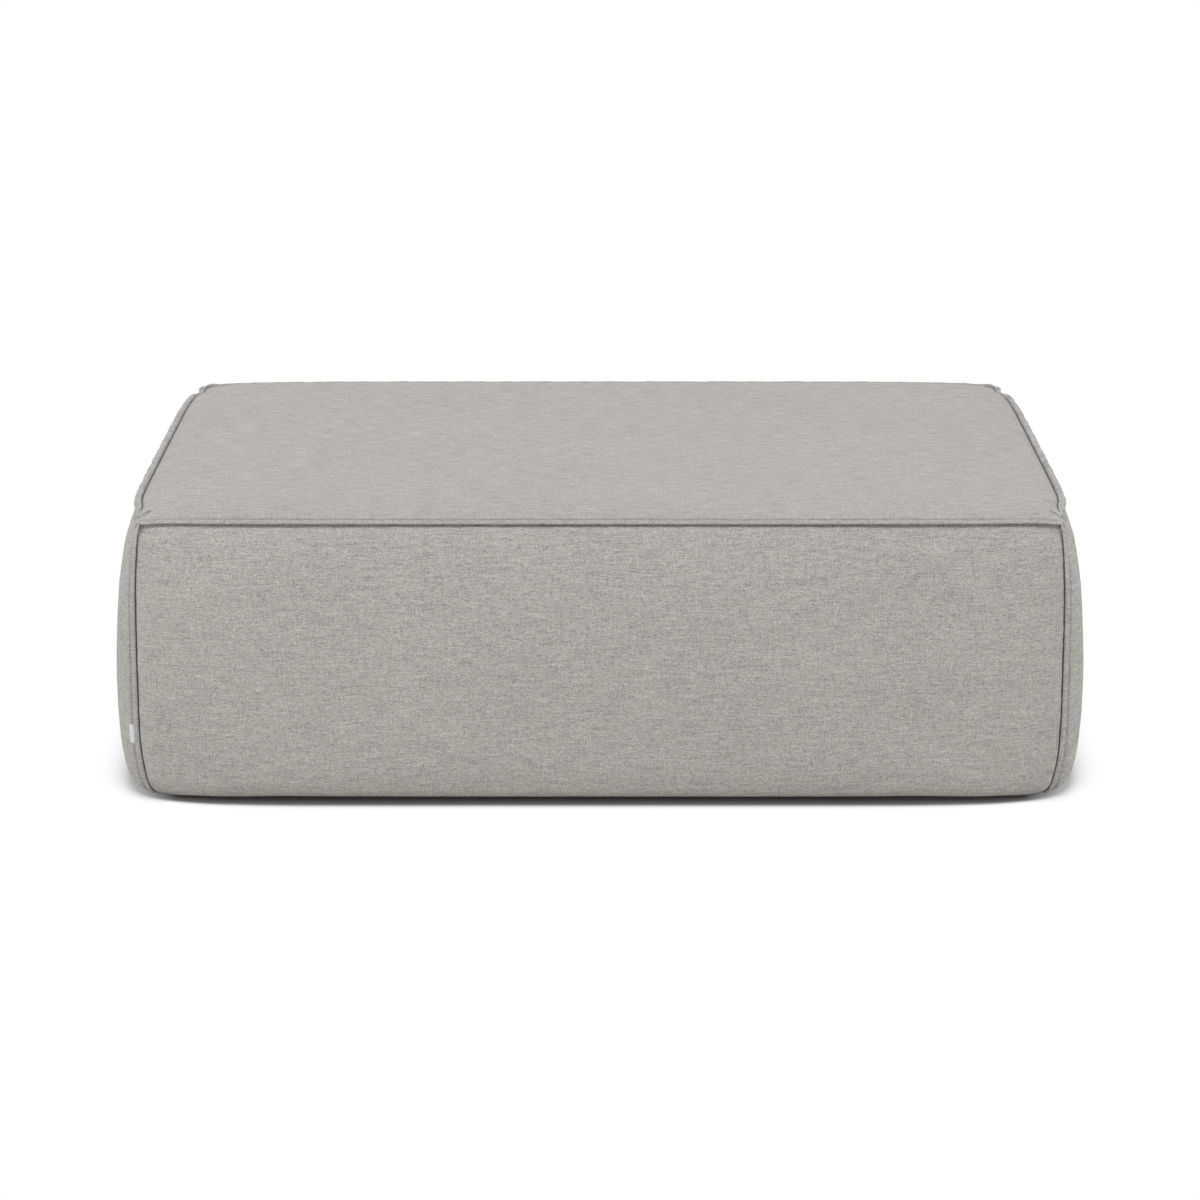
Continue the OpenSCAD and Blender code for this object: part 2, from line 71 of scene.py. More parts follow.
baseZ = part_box("dust_cover")[1].z
sideH = form["seamHeight"] - baseZ
lowerDepth = sideH - form["swellDepth"]

# Numbers of points with which the surfaces are measured, and the step for their normals
fineness = {"bulge": 500, "wall": 200, "lines": 400, "lengths": 800, "normals": 0.003}

# Each side: turn from the front, half its length and its distance from the middle
sides = {"Front": (0, halfX, halfY), "Right": (90, halfY, halfX),
         "Back": (180, halfX, halfY), "Left": (270, halfY, halfX)}


def swell(s, p):
    return np.sqrt(np.clip(1 - np.abs(s) ** p, 0, None))


def bow(s, p):
    return 1 - np.abs(s) ** p


def ease(x, low, high):
    t = np.clip((x - low) / (high - low), 0, 1)
    return t * t * (3 - 2 * t)


def bell(x, width):
    return np.exp(-(x / width) ** 2)


def unit(v):
    return v / np.maximum(np.linalg.norm(v, axis=-1, keepdims=True), 1e-12)


def turned(points, degrees):
    c, s = math.cos(math.radians(degrees)), math.sin(math.radians(degrees))
    x, y, z = points[..., 0], points[..., 1], points[..., 2]
    return np.stack([c * x - s * y, s * x + c * y, z], -1)


def arcOf(points):
    steps = np.linalg.norm(np.diff(points, axis=-2), axis=-1)
    return np.concatenate([np.zeros(steps.shape[:-1] + (1,)), np.cumsum(steps, -1)], -1)


# What the sewn cover does beyond the even form: its lower edge sags, most at the corners,
# the top's end seams are drawn in beside the corners, and the ends roll in a little more
settling = {
    "sag": 4.4 * mm,
    "cornerSag": 2.9 * mm,    # more of it from these shares of the half lengths on
    "cornerFrom": (0.66, 0.88),
    "sagHigh": 42 * mm,       # it fades upwards over this height
    "sagInside": (12 * mm, 30 * mm),      # and towards the dust cover
    # centre of each pinch on the right in metres, how far it moves and how far it reaches in mm
    "pinches": [((0.600, -0.352, 0.366), (-3.6, 0, -1), (25, 28, 12)),
                ((0.590, -0.437, 0.360), (2.6, 0, -3.8), (24, 20, 26)),
                ((0.600, 0.388, 0.364), (-5.5, 0, -2), (25, 20, 16)),
                ((0.584, -0.400, 0.014), (0, 0, -4), (18, 22, 16)),
                ((0.584, 0.400, 0.014), (0, 0, -4), (18, 22, 16)),
                ((0.630, -0.05, 0.030), (-3.0, 0, 0), (30, 420, 16))],
}


def settled(p):
    s = settling
    x, y, z = np.abs(p[..., 0]), np.abs(p[..., 1]), p[..., 2]
    atCorner = ease(x / halfX, *s["cornerFrom"]) * ease(y / halfY, *s["cornerFrom"])
    inside = halfX - form["rollUnder"], halfY - form["rollUnder"]
    outwards = np.maximum(x - inside[0], y - inside[1])
    sag = s["sag"] + s["cornerSag"] * atCorner
    sag = sag * (1 - ease(z - baseZ, 0, s["sagHigh"])) * ease(outwards, *s["sagInside"])
    moved = p - sag[..., None] * np.array([0, 0, 1])
    for side in (-1, 1):
        for centre, move, reach in s["pinches"]:
            away = (p - np.array(centre) * [side, 1, 1]) / (np.array(reach) * mm)
            share = np.exp(-np.sum(away ** 2, -1))
            moved = moved + share[..., None] * np.array(move) * [side * mm, mm, mm]
    return moved


def topSurface(a, b, depth=0.0):
    # a runs left to right and b back to front, both from -1 to 1
    u, w = np.sin(a * np.pi / 2), -np.sin(b * np.pi / 2)
    f = form
    x = u * (halfX - depth + f["seamBow"] * bow(w, f["seamPow"]))
    y = w * (halfY - depth + f["seamBow"] * bow(u, f["seamPow"]))
    z = (f["seamHeight"] - depth
         + f["seamLift"] * (1 - (1 - bow(u, f["seamPow"])) * (1 - bow(w, f["seamPow"])))
         + f["crown"] * swell(u, f["crownPow"]) * swell(w, f["crownPow"])
         + f["dome"] * bow(u, f["domePow"]) * bow(w, f["domePow"]))
    return settled(np.stack([x, y, z], -1))


def fullness(drop):
    f = form
    upper = swell(1 - np.minimum(drop, f["swellDepth"]) / f["swellDepth"], f["upperPow"])
    t = np.clip((drop - f["swellDepth"]) / lowerDepth, 0, 1)
    lower = np.clip(1 - t ** f["lowerPow"], 0, None) ** (1 / f["lowerPow"])
    return np.where(drop < f["swellDepth"], upper, lower)


def sideProfile(v, drop, side, depth=0.0, lift=0.0):
    f = form
    turn, along, out = side
    share = drop / sideH
    straight = 1 - bow(v, f["seamPow"])
    full = fullness(drop)
    roll = np.where(drop > f["swellDepth"], f["rollUnder"] * (1 - full), 0)
    corner = f["cornerBow"] * bow(1 - 2 * share, f["cornerPow"])
    reach = (f["sideBulge"] * swell(v, f["bulgePow"]) * full - roll
             + f["seamBow"] * (1 - straight) + corner * straight)
    x = v * (along - depth + corner - roll)
    y = -(out - depth + reach)
    z = (f["seamHeight"] - depth + f["seamLift"] * (1 - straight) * (1 - share)
         - share * (sideH - 2 * depth - lift))
    return settled(turned(np.stack([x, y, z], -1), turn))


def dropTable():
    # shares of the way down the middle of a side, and the depths below the seam there
    steps = fineness["bulge"]
    near = np.linspace(0, 1, steps) ** 2 * form["swellDepth"]
    angle = np.linspace(0, np.pi / 2, steps)[1:]
    low = form["swellDepth"] + lowerDepth * np.sin(angle) ** (2 / form["lowerPow"])
    even = np.linspace(form["swellDepth"], low[0], fineness["wall"])[1:-1]
    drops = np.concatenate([near, even, low])
    arc = arcOf(sideProfile(np.zeros_like(drops), drops, sides["Front"]))
    return arc / arc[-1], drops


tableB, tableDrop = dropTable()


def sideSurface(name):
    # a runs left to right and b from the top seam down, both from -1 to 1
    def surface(a, b, depth=0.0, lift=0.0):
        drop = np.interp((b + 1) / 2, tableB, tableDrop)
        return sideProfile(np.sin(a * np.pi / 2), drop, sides[name], depth, lift)
    return surface


surfaces = {"Top": topSurface}
surfaces.update({name: sideSurface(name) for name in sides})

# Seams: a lapped edge is folded, stands proud and is topstitched. The edge that passes
# under it is drawn in, which leaves the dark groove
seam = {
    "dip": 2.8 * mm,          # the stitches pull the fabric down this far
    "dipReach": 2.1 * mm,
    "tuck": [4.0, 2.0],       # hidden rows behind the lip, mm from it
    "lipShare": 0.9,          # the lip is rounded this far, as a share of its height
    "lipRound": 3.7 * mm,     # but not further than this
    "lipRows": 8,
    "across": [0.2, 0.38, 0.54, 0.68, 0.8, 0.9, 0.96, 1.0],     # rows over the fold
    "beside": [0.7, 0.7, 0.9, 1.1, 1.4, 1.7],       # steps next to the stitches, mm
    "underRows": [-6.0, -5.0, -3.8, -1.8, 0, 0.8, 1.6, 2.5, 3.5, 4.6, 5.8, 7.2, 8.8, 10.6],
    "footSpan": (13, 32),     # seams flatten out this near to the foot, mm
    "turnUp": 3.0 * mm,       # the hidden end under a fold turns up, which closes the seam
    "turnEnds": (0, 8),       # but not at the corners, mm
    "stitchFrom": (58, 70),   # on the ends' top folds the stitches start here, mm from the front
    "footRows": [0, 2.5, 5, 7.5, 10, 12.5, 15, 17.5, 20, 23, 26.5, 31, 36],
    "fine": 2.0,              # steps beyond, then growing to those of the field
    "finest": 1.3,            # steps where a crease crosses
    "growing": [2.6, 3.4, 4.4, 5.5],
    "field": 6.5 * mm,        # steps in the middle of a panel
    "rounds": 6,              # to find where the lines cross
    # share of a groove's depth in its narrow core, and the core's share of its reach
    "core": (0.45, 0.33),
    "turnFrom": 0.6,          # the hidden end turns up from this share of its distance on
}


def fold(high, width=9.0, start=0.0, fine=14, dense=math.inf, hollow=0.55, dip=1.0):
    # mm, and shares for how hollow the lip is below and how deep the stitches pull it down.
    # Steps are small as far as fine, and smallest from dense on
    return {"kind": "fold", "high": high * mm, "width": width * mm, "start": start * mm,
            "round": min(seam["lipShare"] * high * mm, seam["lipRound"]), "fine": fine * mm,
            "dense": dense * mm, "hollow": hollow, "dip": dip}


def under(depth, reach, turnAt=6.0, fine=14):
    # all in mm. The hidden end turns up until turnAt
    return {"kind": "under", "groove": depth * mm, "reach": reach * mm, "turnAt": turnAt * mm,
            "fine": fine * mm, "dense": math.inf}


foot = {"kind": "foot"}

# Left, right, top and bottom edge of each panel seen from outside. The top's "top" is its
# back edge
edges = {
    "Top": (under(0.8, 5.0), under(0.8, 5.0), fold(5.5, fine=24),
            fold(3.3, width=8.2, start=1.0, fine=52, dense=26, dip=1.4)),
    "Front": (under(2.3, 13, 2.6), under(2.3, 13, 2.6), under(3.1, 7.0), foot),
    "Back": (under(2.3, 13, 2.6), under(2.3, 13, 2.6), under(3.1, 7.0), foot),
    "Left": (fold(2.2), fold(2.2, fine=58, dense=32), fold(7.5, width=10, hollow=0.12), foot),
    "Right": (fold(2.2, fine=58, dense=32), fold(2.2), fold(7.5, width=10, hollow=0.12), foot),
}


def edgeRows(edge):
    # distance from the seam, and share of the fold's height, of each line of vertices
    if edge["kind"] == "foot":
        return np.array([[t * mm, 1.0] for t in seam["footRows"]])
    if edge["kind"] == "under":
        rows = [[t * mm, 1.0] for t in seam["underRows"]]
    else:
        start, r = edge["start"], edge["round"]
        rows = [[start + t * mm, 0.0] for t in seam["tuck"]]
        rows += [[start + r * (1 - math.cos(p)) * (edge["hollow"] if p < 0 else 1),
                  (1 + math.sin(p)) / 2]
                 for p in np.linspace(-math.pi / 2, math.pi / 2, seam["lipRows"])]
        rows += [[start + r + (edge["width"] - start - r) * t, 1.0] for t in seam["across"]]
        for step in seam["beside"]:
            rows.append([rows[-1][0] + step * mm, 1.0])
    while rows[-1][0] < edge["fine"]:
        step = seam["fine"] if rows[-1][0] < edge["dense"] else seam["finest"]
        rows.append([rows[-1][0] + step * mm, 1.0])
    for step in seam["growing"]:
        rows.append([rows[-1][0] + step * mm, 1.0])
    return np.array(rows)


def linePlaces(first, last, spacing, typical):
    # places of all lines between two edges, for any distance between these
    count = max(int(round((typical - first[-1, 0] - last[-1, 0]) / spacing)), 2)
    share = np.arange(1, count) / count

    def places(total):
        middle = first[-1, 0] + (total - last[-1, 0] - first[-1, 0]) * share
        return np.concatenate([first[:, 0], middle, (total - last[:, 0])[::-1]])

    shares = [np.concatenate([first[:, 1], np.ones(len(share) + len(last))]),
              np.concatenate([np.ones(len(first) + len(share)), last[::-1, 1]])]
    return places, shares


def arcTable(surface, way, places):
    # for each line across, the parameters at which its asked places lie
    dense = np.linspace(-1, 1, fineness["lines"])
    line, place = np.meshgrid(dense, dense, indexing="ij")
    arc = arcOf(surface(place, line) if way == "a" else surface(line, place))
    table = np.array([np.interp(np.clip(places(one[-1]), 0, one[-1]), one, dense) for one in arc])
    return dense, table, arc[:, -1]


def panelGrid(name, rows, spacing):
    # the bare surface on lines that keep their distance from all four edges
    surface = surfaces[name]
    dense = np.linspace(-1, 1, fineness["lengths"])
    lengths = [arcOf(surface(dense, dense * 0))[-1], arcOf(surface(dense * 0, dense))[-1]]
    placesA, shareA = linePlaces(rows[0], rows[1], spacing, lengths[0])
    placesB, shareB = linePlaces(rows[2], rows[3], spacing, lengths[1])
    lines, tableCols, totalCols = arcTable(surface, "a", placesA)
    lines, tableRows, totalRows = arcTable(surface, "b", placesB)
    across, down = tableCols.shape[1], tableRows.shape[1]
    b = np.repeat(tableRows[len(lines) // 2][:, None], across, 1)
    for again in range(seam["rounds"]):
        a = np.stack([np.interp(b[:, i], lines, tableCols[:, i]) for i in range(across)], 1)
        b = np.stack([np.interp(a[j], lines, tableRows[:, j]) for j in range(down)], 0)
    wide = np.interp(b, lines, totalCols).mean(1)
    tall = np.interp(a, lines, totalRows).mean(0)
    fromLeft = np.stack([placesA(t) for t in wide], 0)
    fromTop = np.stack([placesB(t) for t in tall], 1)
    reach = [fromLeft, wide[:, None] - fromLeft, fromTop, tall[None, :] - fromTop]
    lips = [shareA[0][None, :], shareA[1][None, :], shareB[0][:, None], shareB[1][:, None]]
    return {"a": a, "b": b, "reach": reach, "lips": lips}


def normalsAt(surface, a, b):
    e = fineness["normals"]
    alongA = surface(np.minimum(a + e, 1), b) - surface(np.maximum(a - e, -1), b)
    alongB = surface(a, np.minimum(b + e, 1)) - surface(a, np.maximum(b - e, -1))
    return unit(np.cross(alongB, alongA))


def pastEdges(points, reach):
    # lines beyond a seam run on straight from the first lines inside it
    for edge, (axis, start) in enumerate([(1, 0), (1, -1), (0, 0), (0, -1)]):
        p, t = (points, reach[edge]) if axis == 0 else (points.swapaxes(0, 1), reach[edge].T)
        if start:
            p, t = p[::-1], t[::-1]
        beyond = np.where(t[:, 0] < -1e-9)[0]
        if len(beyond) == 0:
            continue
        zero = beyond[-1] + 1
        away = unit(p[zero] - p[zero + 1])
        for k in beyond:
            p[k] = p[zero] - away * t[k][:, None]
    return points


# Top corners. In front the end panel's fold stops short of the corner, and a crease runs
# across the seam there. At the back both are close to the corner, where a folded cap is left
corner = {
    # mm from the front or back seam, and share of the end fold's height there
    "frontShare": ([0, 58, 64, 72, 110], [0.06, 0.06, 0.6, 0.9, 1]),
    "backShare": ([0, 8, 12, 15, 20, 30, 45], [1.3, 1.3, 1.0, 0.6, 0.75, 0.9, 1]),
    # the same for the top's back fold, from its ends
    "capShare": ([0, 8, 20, 45, 90], [1.2, 1.15, 0.8, 0.95, 0.8]),
    # where the top's side grooves begin, from the front and the back seam
    "grooveEnds": ((60, 84), (6, 20)),
    # each crease on the top (x, y) and on the end panels (y, z), in mm, its depth, and how
    # far the fabric behind it leans over it
    "creases": [(((592, -399), (581, -391)), ((-391, 365), (-379, 359)), 6.5, 8.5),
                (((584, 422), (575, 415)), ((412, 366), (409, 360)), 4.0, 0)],
    "creaseWidth": 2.3 * mm,
    "lipAt": 3.2 * mm,        # the fabric leans over most this far behind the crease
    "lipRise": 0.4,           # and rises by this share of its lean
    "creaseShade": 0.34,      # shade painted into a crease, for each mm of its depth
    "shadeWidth": 3.45 * mm,
}

# Sewn edges aren't quite even: seams waver a little along their length
waver = {"share": 0.07, "grooveShare": 0.2, "lengths": [19 * mm, 31 * mm, 53 * mm, 97 * mm],
         "phase": 6.28, "seed": 5, "grooveSeed": 10}


def seamWaver(along, shift, share=waver["share"]):
    rng = np.random.default_rng(waver["seed"] + shift)
    total = 0
    for length in waver["lengths"]:
        total = total + np.sin(along * 2 * np.pi / length + rng.uniform(0, waver["phase"]))
    return 1 + share * total / 2


def frontAndBack(name, reach):
    # distances from the front and back edges of a panel that has both
    return {"Top": (reach[3], reach[2]), "Left": (reach[1], reach[0]),
            "Right": (reach[0], reach[1])}[name]


def easeMm(x, span):
    return ease(x, span[0] * mm, span[1] * mm)


def foldHeight(name, k, reach):
    along = reach[2] if k < 2 else reach[0]
    high = edges[name][k]["high"] * seamWaver(along, k)
    if k != 2:
        return high
    if name == "Top":
        return high * np.interp(np.minimum(reach[0], reach[1]) / mm, *corner["capShare"])
    front, back = frontAndBack(name, reach)
    return (high * np.interp(front / mm, *corner["frontShare"])
            * np.interp(back / mm, *corner["backShare"]))


def foldHeights(name, reach, lips):
    # height of the folded edges over the bare surface, and how far the stitches press them
    tall, lip, stitched = np.zeros(reach[0].shape), 1, 0
    folds = [k for k in range(4) if edges[name][k]["kind"] == "fold"]
    for k in folds:
        edge = edges[name][k]
        crest = edge["start"] + edge["round"]
        x = np.clip((reach[k] - crest) / (edge["width"] - crest), 0, 1)
        tall = np.maximum(tall, foldHeight(name, k, reach) * np.sqrt(1 - x * x))
        lip = lip * lips[k]
        line = bell(reach[k] - edge["width"], seam["dipReach"])
        for m in folds:
            if m != k:
                line = line * ease(reach[m], edges[name][m]["width"] - mm, edges[name][m]["width"])
        if name != "Top" and k == 2:
            line = line * easeMm(frontAndBack(name, reach)[0], seam["stitchFrom"])
        stitched = np.maximum(stitched, line * edge["dip"])
    return tall * lip, stitched


def grooveDepths(name, reach):
    # what the edges that pass under a fold leave: grooves, and hidden ends that turn up
    grooves, upturn = np.zeros(reach[0].shape), 0
    deep, narrow = seam["core"]
    for k, edge in enumerate(edges[name]):
        if edge["kind"] != "under":
            continue
        x = np.maximum(reach[k], 0)
        g = deep * bell(x, narrow * edge["reach"]) + (1 - deep) * bell(x, edge["reach"])
        g = g * seamWaver(reach[2] if k < 2 else reach[0], waver["grooveSeed"] + k,
                          waver["grooveShare"])
        if name == "Top":
            for distance, span in zip(frontAndBack(name, reach), corner["grooveEnds"]):
                g = g * easeMm(distance, span)
        grooves = grooves - np.minimum(g, 1) * edge["groove"]
        toEnd = np.minimum.reduce([reach[m] for m in range(4) if m // 2 != k // 2])
        turn = ease(-reach[k], seam["turnFrom"] * edge["turnAt"], edge["turnAt"])
        turn = turn * easeMm(toEnd, seam["turnEnds"])
        upturn = np.maximum(upturn, turn * (edge["groove"] + seam["turnUp"]))
    return grooves, upturn


def seamHeights(name, reach, lips):
    # how high folds and grooves lie over the bare surface, and how deep the stitches lie, which
    # also sets the shade painted along them
    atFoot = 1 if name == "Top" else easeMm(reach[3], seam["footSpan"])
    folds, stitched = foldHeights(name, reach, lips)
    grooves, upturn = grooveDepths(name, reach)
    return ((folds - seam["dip"] * stitched) * atFoot, grooves * atFoot + upturn,
            np.minimum(stitched, 1) * atFoot)


def cornerCreases(name, points):
    # how deep each point sinks, how far it leans sideways and how much shade is painted on it
    drop, lean, paintedCreaseShade = np.zeros(points.shape[:2]), np.zeros(points.shape), np.zeros(points.shape[:2])
    if name in ("Front", "Back"):
        return drop, lean, paintedCreaseShade
    x, y, z = np.abs(points[..., 0]), points[..., 1], points[..., 2]
    for onTop, onEnd, depth, lip in corner["creases"]:
        start, end = np.array(onTop if name == "Top" else onEnd) * mm
        place = np.stack([x, y] if name == "Top" else [y, z], -1)
        way = end - start
        share = np.clip(((place - start) @ way) / (way @ way), 0, 1)
        away = place - start - share[..., None] * way
        far = np.linalg.norm(away, axis=-1)
        drop = drop - depth * mm * bell(far, corner["creaseWidth"])
        # painted shade in the crease, spread a little wider than the crease itself
        paintedCreaseShade = np.maximum(paintedCreaseShade, bell(far, corner["shadeWidth"]) * depth * corner["creaseShade"])
        if name == "Top" and lip:
            behind = np.array([way[1], -way[0]]) / np.linalg.norm(way)
            amount = np.linalg.norm(away - behind * corner["lipAt"], axis=-1)
            amount = lip * mm * bell(amount, corner["lipAt"])
            drop = drop + amount * corner["lipRise"]
            lean = lean - np.stack([amount * behind[0] * np.sign(points[..., 0]),
                                    amount * behind[1], np.zeros(x.shape)], -1)
    return drop, lean, paintedCreaseShade


def meshFrom(name, verts, faces, weave=None):
    mesh = bpy.data.meshes.new(name)
    faces = np.asarray(faces, np.int32)
    starts = np.arange(0, faces.size, faces.shape[1], dtype=np.int32)
    mesh.vertices.add(len(verts))
    mesh.vertices.foreach_set("co", np.asarray(verts, np.float32).ravel())
    mesh.loops.add(faces.size)
    mesh.loops.foreach_set("vertex_index", faces.ravel())
    mesh.polygons.add(len(faces))
    mesh.polygons.foreach_set("loop_start", starts)
    mesh.polygons.foreach_set("use_smooth", np.ones(len(faces), bool))
    mesh.update(calc_edges=True)
    if weave is not None:
        # place in the weave, and the shade painted on the point in a stitch line or a crease
        place = mesh.attributes.new("weave", "FLOAT_VECTOR", "POINT")
        place.data.foreach_set("vector", weave[:, :3].astype(np.float32).ravel())
        paintedShade = mesh.attributes.new("paintedShade", "FLOAT", "POINT")
        paintedShade.data.foreach_set("value", weave[:, 3].astype(np.float32))
    mesh.validate()
    piece = bpy.data.objects.new(name, mesh)
    scene.collection.objects.link(piece)
    return piece


def quads(at):
    return np.stack([at[:-1, :-1], at[1:, :-1], at[1:, 1:], at[:-1, 1:]], -1).reshape(-1, 4)


def closedSheet(name, outer, inner, weave=None):
    # rows run down and columns to the right, both seen from outside
    rows, cols = outer.shape[:2]
    at = np.arange(rows * cols).reshape(rows, cols)
    under = at + rows * cols
    rim = [quads(np.stack([under[0], at[0]])), quads(np.stack([at[-1], under[-1]])),
           quads(np.stack([under[:, 0], at[:, 0]], 1)),
           quads(np.stack([at[:, -1], under[:, -1]], 1))]
    faces = np.concatenate([quads(at), quads(under)[:, ::-1]] + rim)
    if weave is not None:
        weave = np.concatenate([weave.reshape(-1, 4)] * 2)
    verts = np.concatenate([outer.reshape(-1, 3), inner.reshape(-1, 3)])
    return meshFrom(name, verts, faces, weave)


def finished(piece, slot, replaced):
    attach(piece, "root")
    if replaced:
        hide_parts(*replaced)
    return piece


# Cloth simulation: the fabric's slack is blown out between its seams on a coarse grid. What
# it does along the normals is kept, within caps, and carried over to the fine panels
cloth = {
    "spacing": 14 * mm,
    "frames": 20,
    "rules": {"quality": 6, "mass": 0.3, "air_damping": 4, "tension_stiffness": 40,
              "compression_stiffness": 40, "shear_stiffness": 20, "bending_stiffness": 0.3,
              "vertex_group_mass": "pins", "use_pressure": True, "uniform_pressure_force": 4,
              "vertex_group_shrink": "loose", "shrink_min": 0},
    "slack": 0.012,           # more fabric than room near the seams, which puckers it
    "slackReach": 45 * mm,
    "uneven": 0.75 * mm,      # the start isn't quite smooth
    "evenEdge": 20 * mm,      # but it is beside the seams
    "billowShare": 1 / 8,     # of the wide movement that is kept
    "billowCap": 0.8 * mm,    # and its limit
    "puckerCap": 0.7 * mm,    # limit of the creases on top of it
    "passes": 12,             # rounds of smoothing that part the two
    "rounding": 0.02 * mm,
    "seed": 11,
}
plainEdges = [np.array([[0.0, 1.0]])] * 4


def smoothed(values, passes):
    for again in range(passes):
        p = np.pad(values, 1, mode="edge")
        values = (p[:-2, 1:-1] + p[2:, 1:-1] + p[1:-1, :-2] + p[1:-1, 2:] + 2 * values) / 6
    return values


def clothTrial(grids):
    # one coarse piece of all five panels, pinned at the seams and with its slack beside them
    rng = np.random.default_rng(cloth["seed"])
    verts, faces, pinned, slack, count = [], [], [], [], 0
    for name, grid in grids.items():
        p = surfaces[name](grid["a"], grid["b"])
        n = normalsAt(surfaces[name], grid["a"], grid["b"])
        near = np.minimum.reduce(grid["reach"])
        start = smoothed(rng.uniform(-1, 1, near.shape), passes=2) * cloth["uneven"]
        start = start * ease(near, 0, cloth["evenEdge"])
        verts.append((p + n * start[..., None]).reshape(-1, 3))
        faces.append(quads(count + np.arange(near.size).reshape(near.shape)))
        pinned.append((near < 1e-5).ravel())
        slack.append(bell(near, cloth["slackReach"]).ravel())
        grid.update(points=p, normals=n, span=slice(count, count + near.size))
        count += near.size
    piece = meshFrom("clothTrial", np.concatenate(verts), np.concatenate(faces))
    pins = piece.vertex_groups.new(name="pins")
    pins.add(np.where(np.concatenate(pinned))[0].tolist(), 1, "REPLACE")
    loose = piece.vertex_groups.new(name="loose")
    for index, weight in enumerate(np.concatenate(slack)):
        loose.add([index], float(weight), "REPLACE")
    return piece


def blownOut(piece):
    # runs the simulation, and returns where it moves the points
    modifier = piece.modifiers.new("cloth", "CLOTH")
    for rule, value in cloth["rules"].items():
        setattr(modifier.settings, rule, value)
    modifier.settings.shrink_max = -cloth["slack"]
    modifier.settings.effector_weights.gravity = 0
    modifier.collision_settings.use_collision = False
    for timed in (scene, modifier.point_cache):
        timed.frame_start, timed.frame_end = 1, cloth["frames"]
    for now in range(1, cloth["frames"] + 1):
        scene.frame_set(now)
    moved = piece.evaluated_get(bpy.context.evaluated_depsgraph_get()).data
    places = np.empty(len(moved.vertices) * 3, np.float32)
    moved.vertices.foreach_get("co", places)
    bpy.data.objects.remove(piece)
    scene.frame_set(1)
    return places.reshape(-1, 3)


def simulated():
    grids = {name: panelGrid(name, plainEdges, cloth["spacing"]) for name in surfaces}
    places = blownOut(clothTrial(grids))
    result = {}
    for name, grid in grids.items():
        p = grid["points"]
        now = places[grid["span"]].reshape(p.shape)
        d = np.sum((now - p) * grid["normals"], -1)
        wide = smoothed(d, cloth["passes"])
        fine = d - wide
        print("cloth", name, "wide %.1f to %.1f mm" % (wide.min() / mm, wide.max() / mm),
              "fine %.2f mm" % (fine.std() / mm))
        wide = cloth["billowCap"] * np.tanh(wide * cloth["billowShare"] / cloth["billowCap"])
        fine = cloth["puckerCap"] * np.tanh(fine / cloth["puckerCap"])
        result[name] = np.round((wide + fine) / cloth["rounding"]) * cloth["rounding"]
    return result


def cubic(f):
    # shares of four neighbours in a smooth curve between the middle two
    return [(-f + 2 * f ** 2 - f ** 3) / 2, (2 - 5 * f ** 2 + 3 * f ** 3) / 2,
            (f + 4 * f ** 2 - 3 * f ** 3) / 2, (f ** 3 - f ** 2) / 2]


def sampled(values, down, across):
    # smooth curve through an even grid of values, at shares from 0 to 1
    rows, cols = values.shape
    y, x = np.clip(down, 0, 1) * (rows - 1), np.clip(across, 0, 1) * (cols - 1)
    j, i = np.floor(y).astype(int), np.floor(x).astype(int)
    total = np.zeros(down.shape)
    for m, high in enumerate(cubic(y - j)):
        for k, wide in enumerate(cubic(x - i)):
            total += high * wide * values[np.clip(j + m - 1, 0, rows - 1),
                                          np.clip(i + k - 1, 0, cols - 1)]
    return total


relief = simulated()
print("cloth simulation", "done")

# Underside of the side panels, stapled under the frame. The ends' lie outermost
underneath = {"rows": 6, "lap": 0.35 * mm}
panelShift = 0.1      # from panel to panel in the weave's noise, metres


def turnedIn(name, edgeLine):
    turn, along, out = sides[name]
    local = turned(edgeLine, -turn)
    back = form["frameInset"] + form["turnIn"]
    narrower = (along - back) / np.abs(local[:, 0]).max()
    goal = local * [narrower, 0, 0] + [0, back - out, 0]
    shares = np.linspace(0, 1, underneath["rows"] + 1)[1:]
    rows = np.stack([local + (goal - local) * share for share in shares])
    rows[..., 2] = baseZ + (underneath["lap"] if name in ("Front", "Back") else 0)
    return turned(rows, turn)


def sewnLines(name, outer, normal, reach):
    # each stitched line: its points, their normals and how far they are from its ends
    row = len(seam["tuck"]) + seam["lipRows"] + len(seam["across"]) - 1
    lines = []
    for k, edge in enumerate(edges[name]):
        if edge["kind"] == "fold":
            at = row if k in (0, 2) else -1 - row
            at = (slice(None), at) if k < 2 else at
            first, last = reach[2:] if k < 2 else reach[:2]
            lines.append((outer[at], normal[at], np.minimum(first[at], last[at])))
    return lines


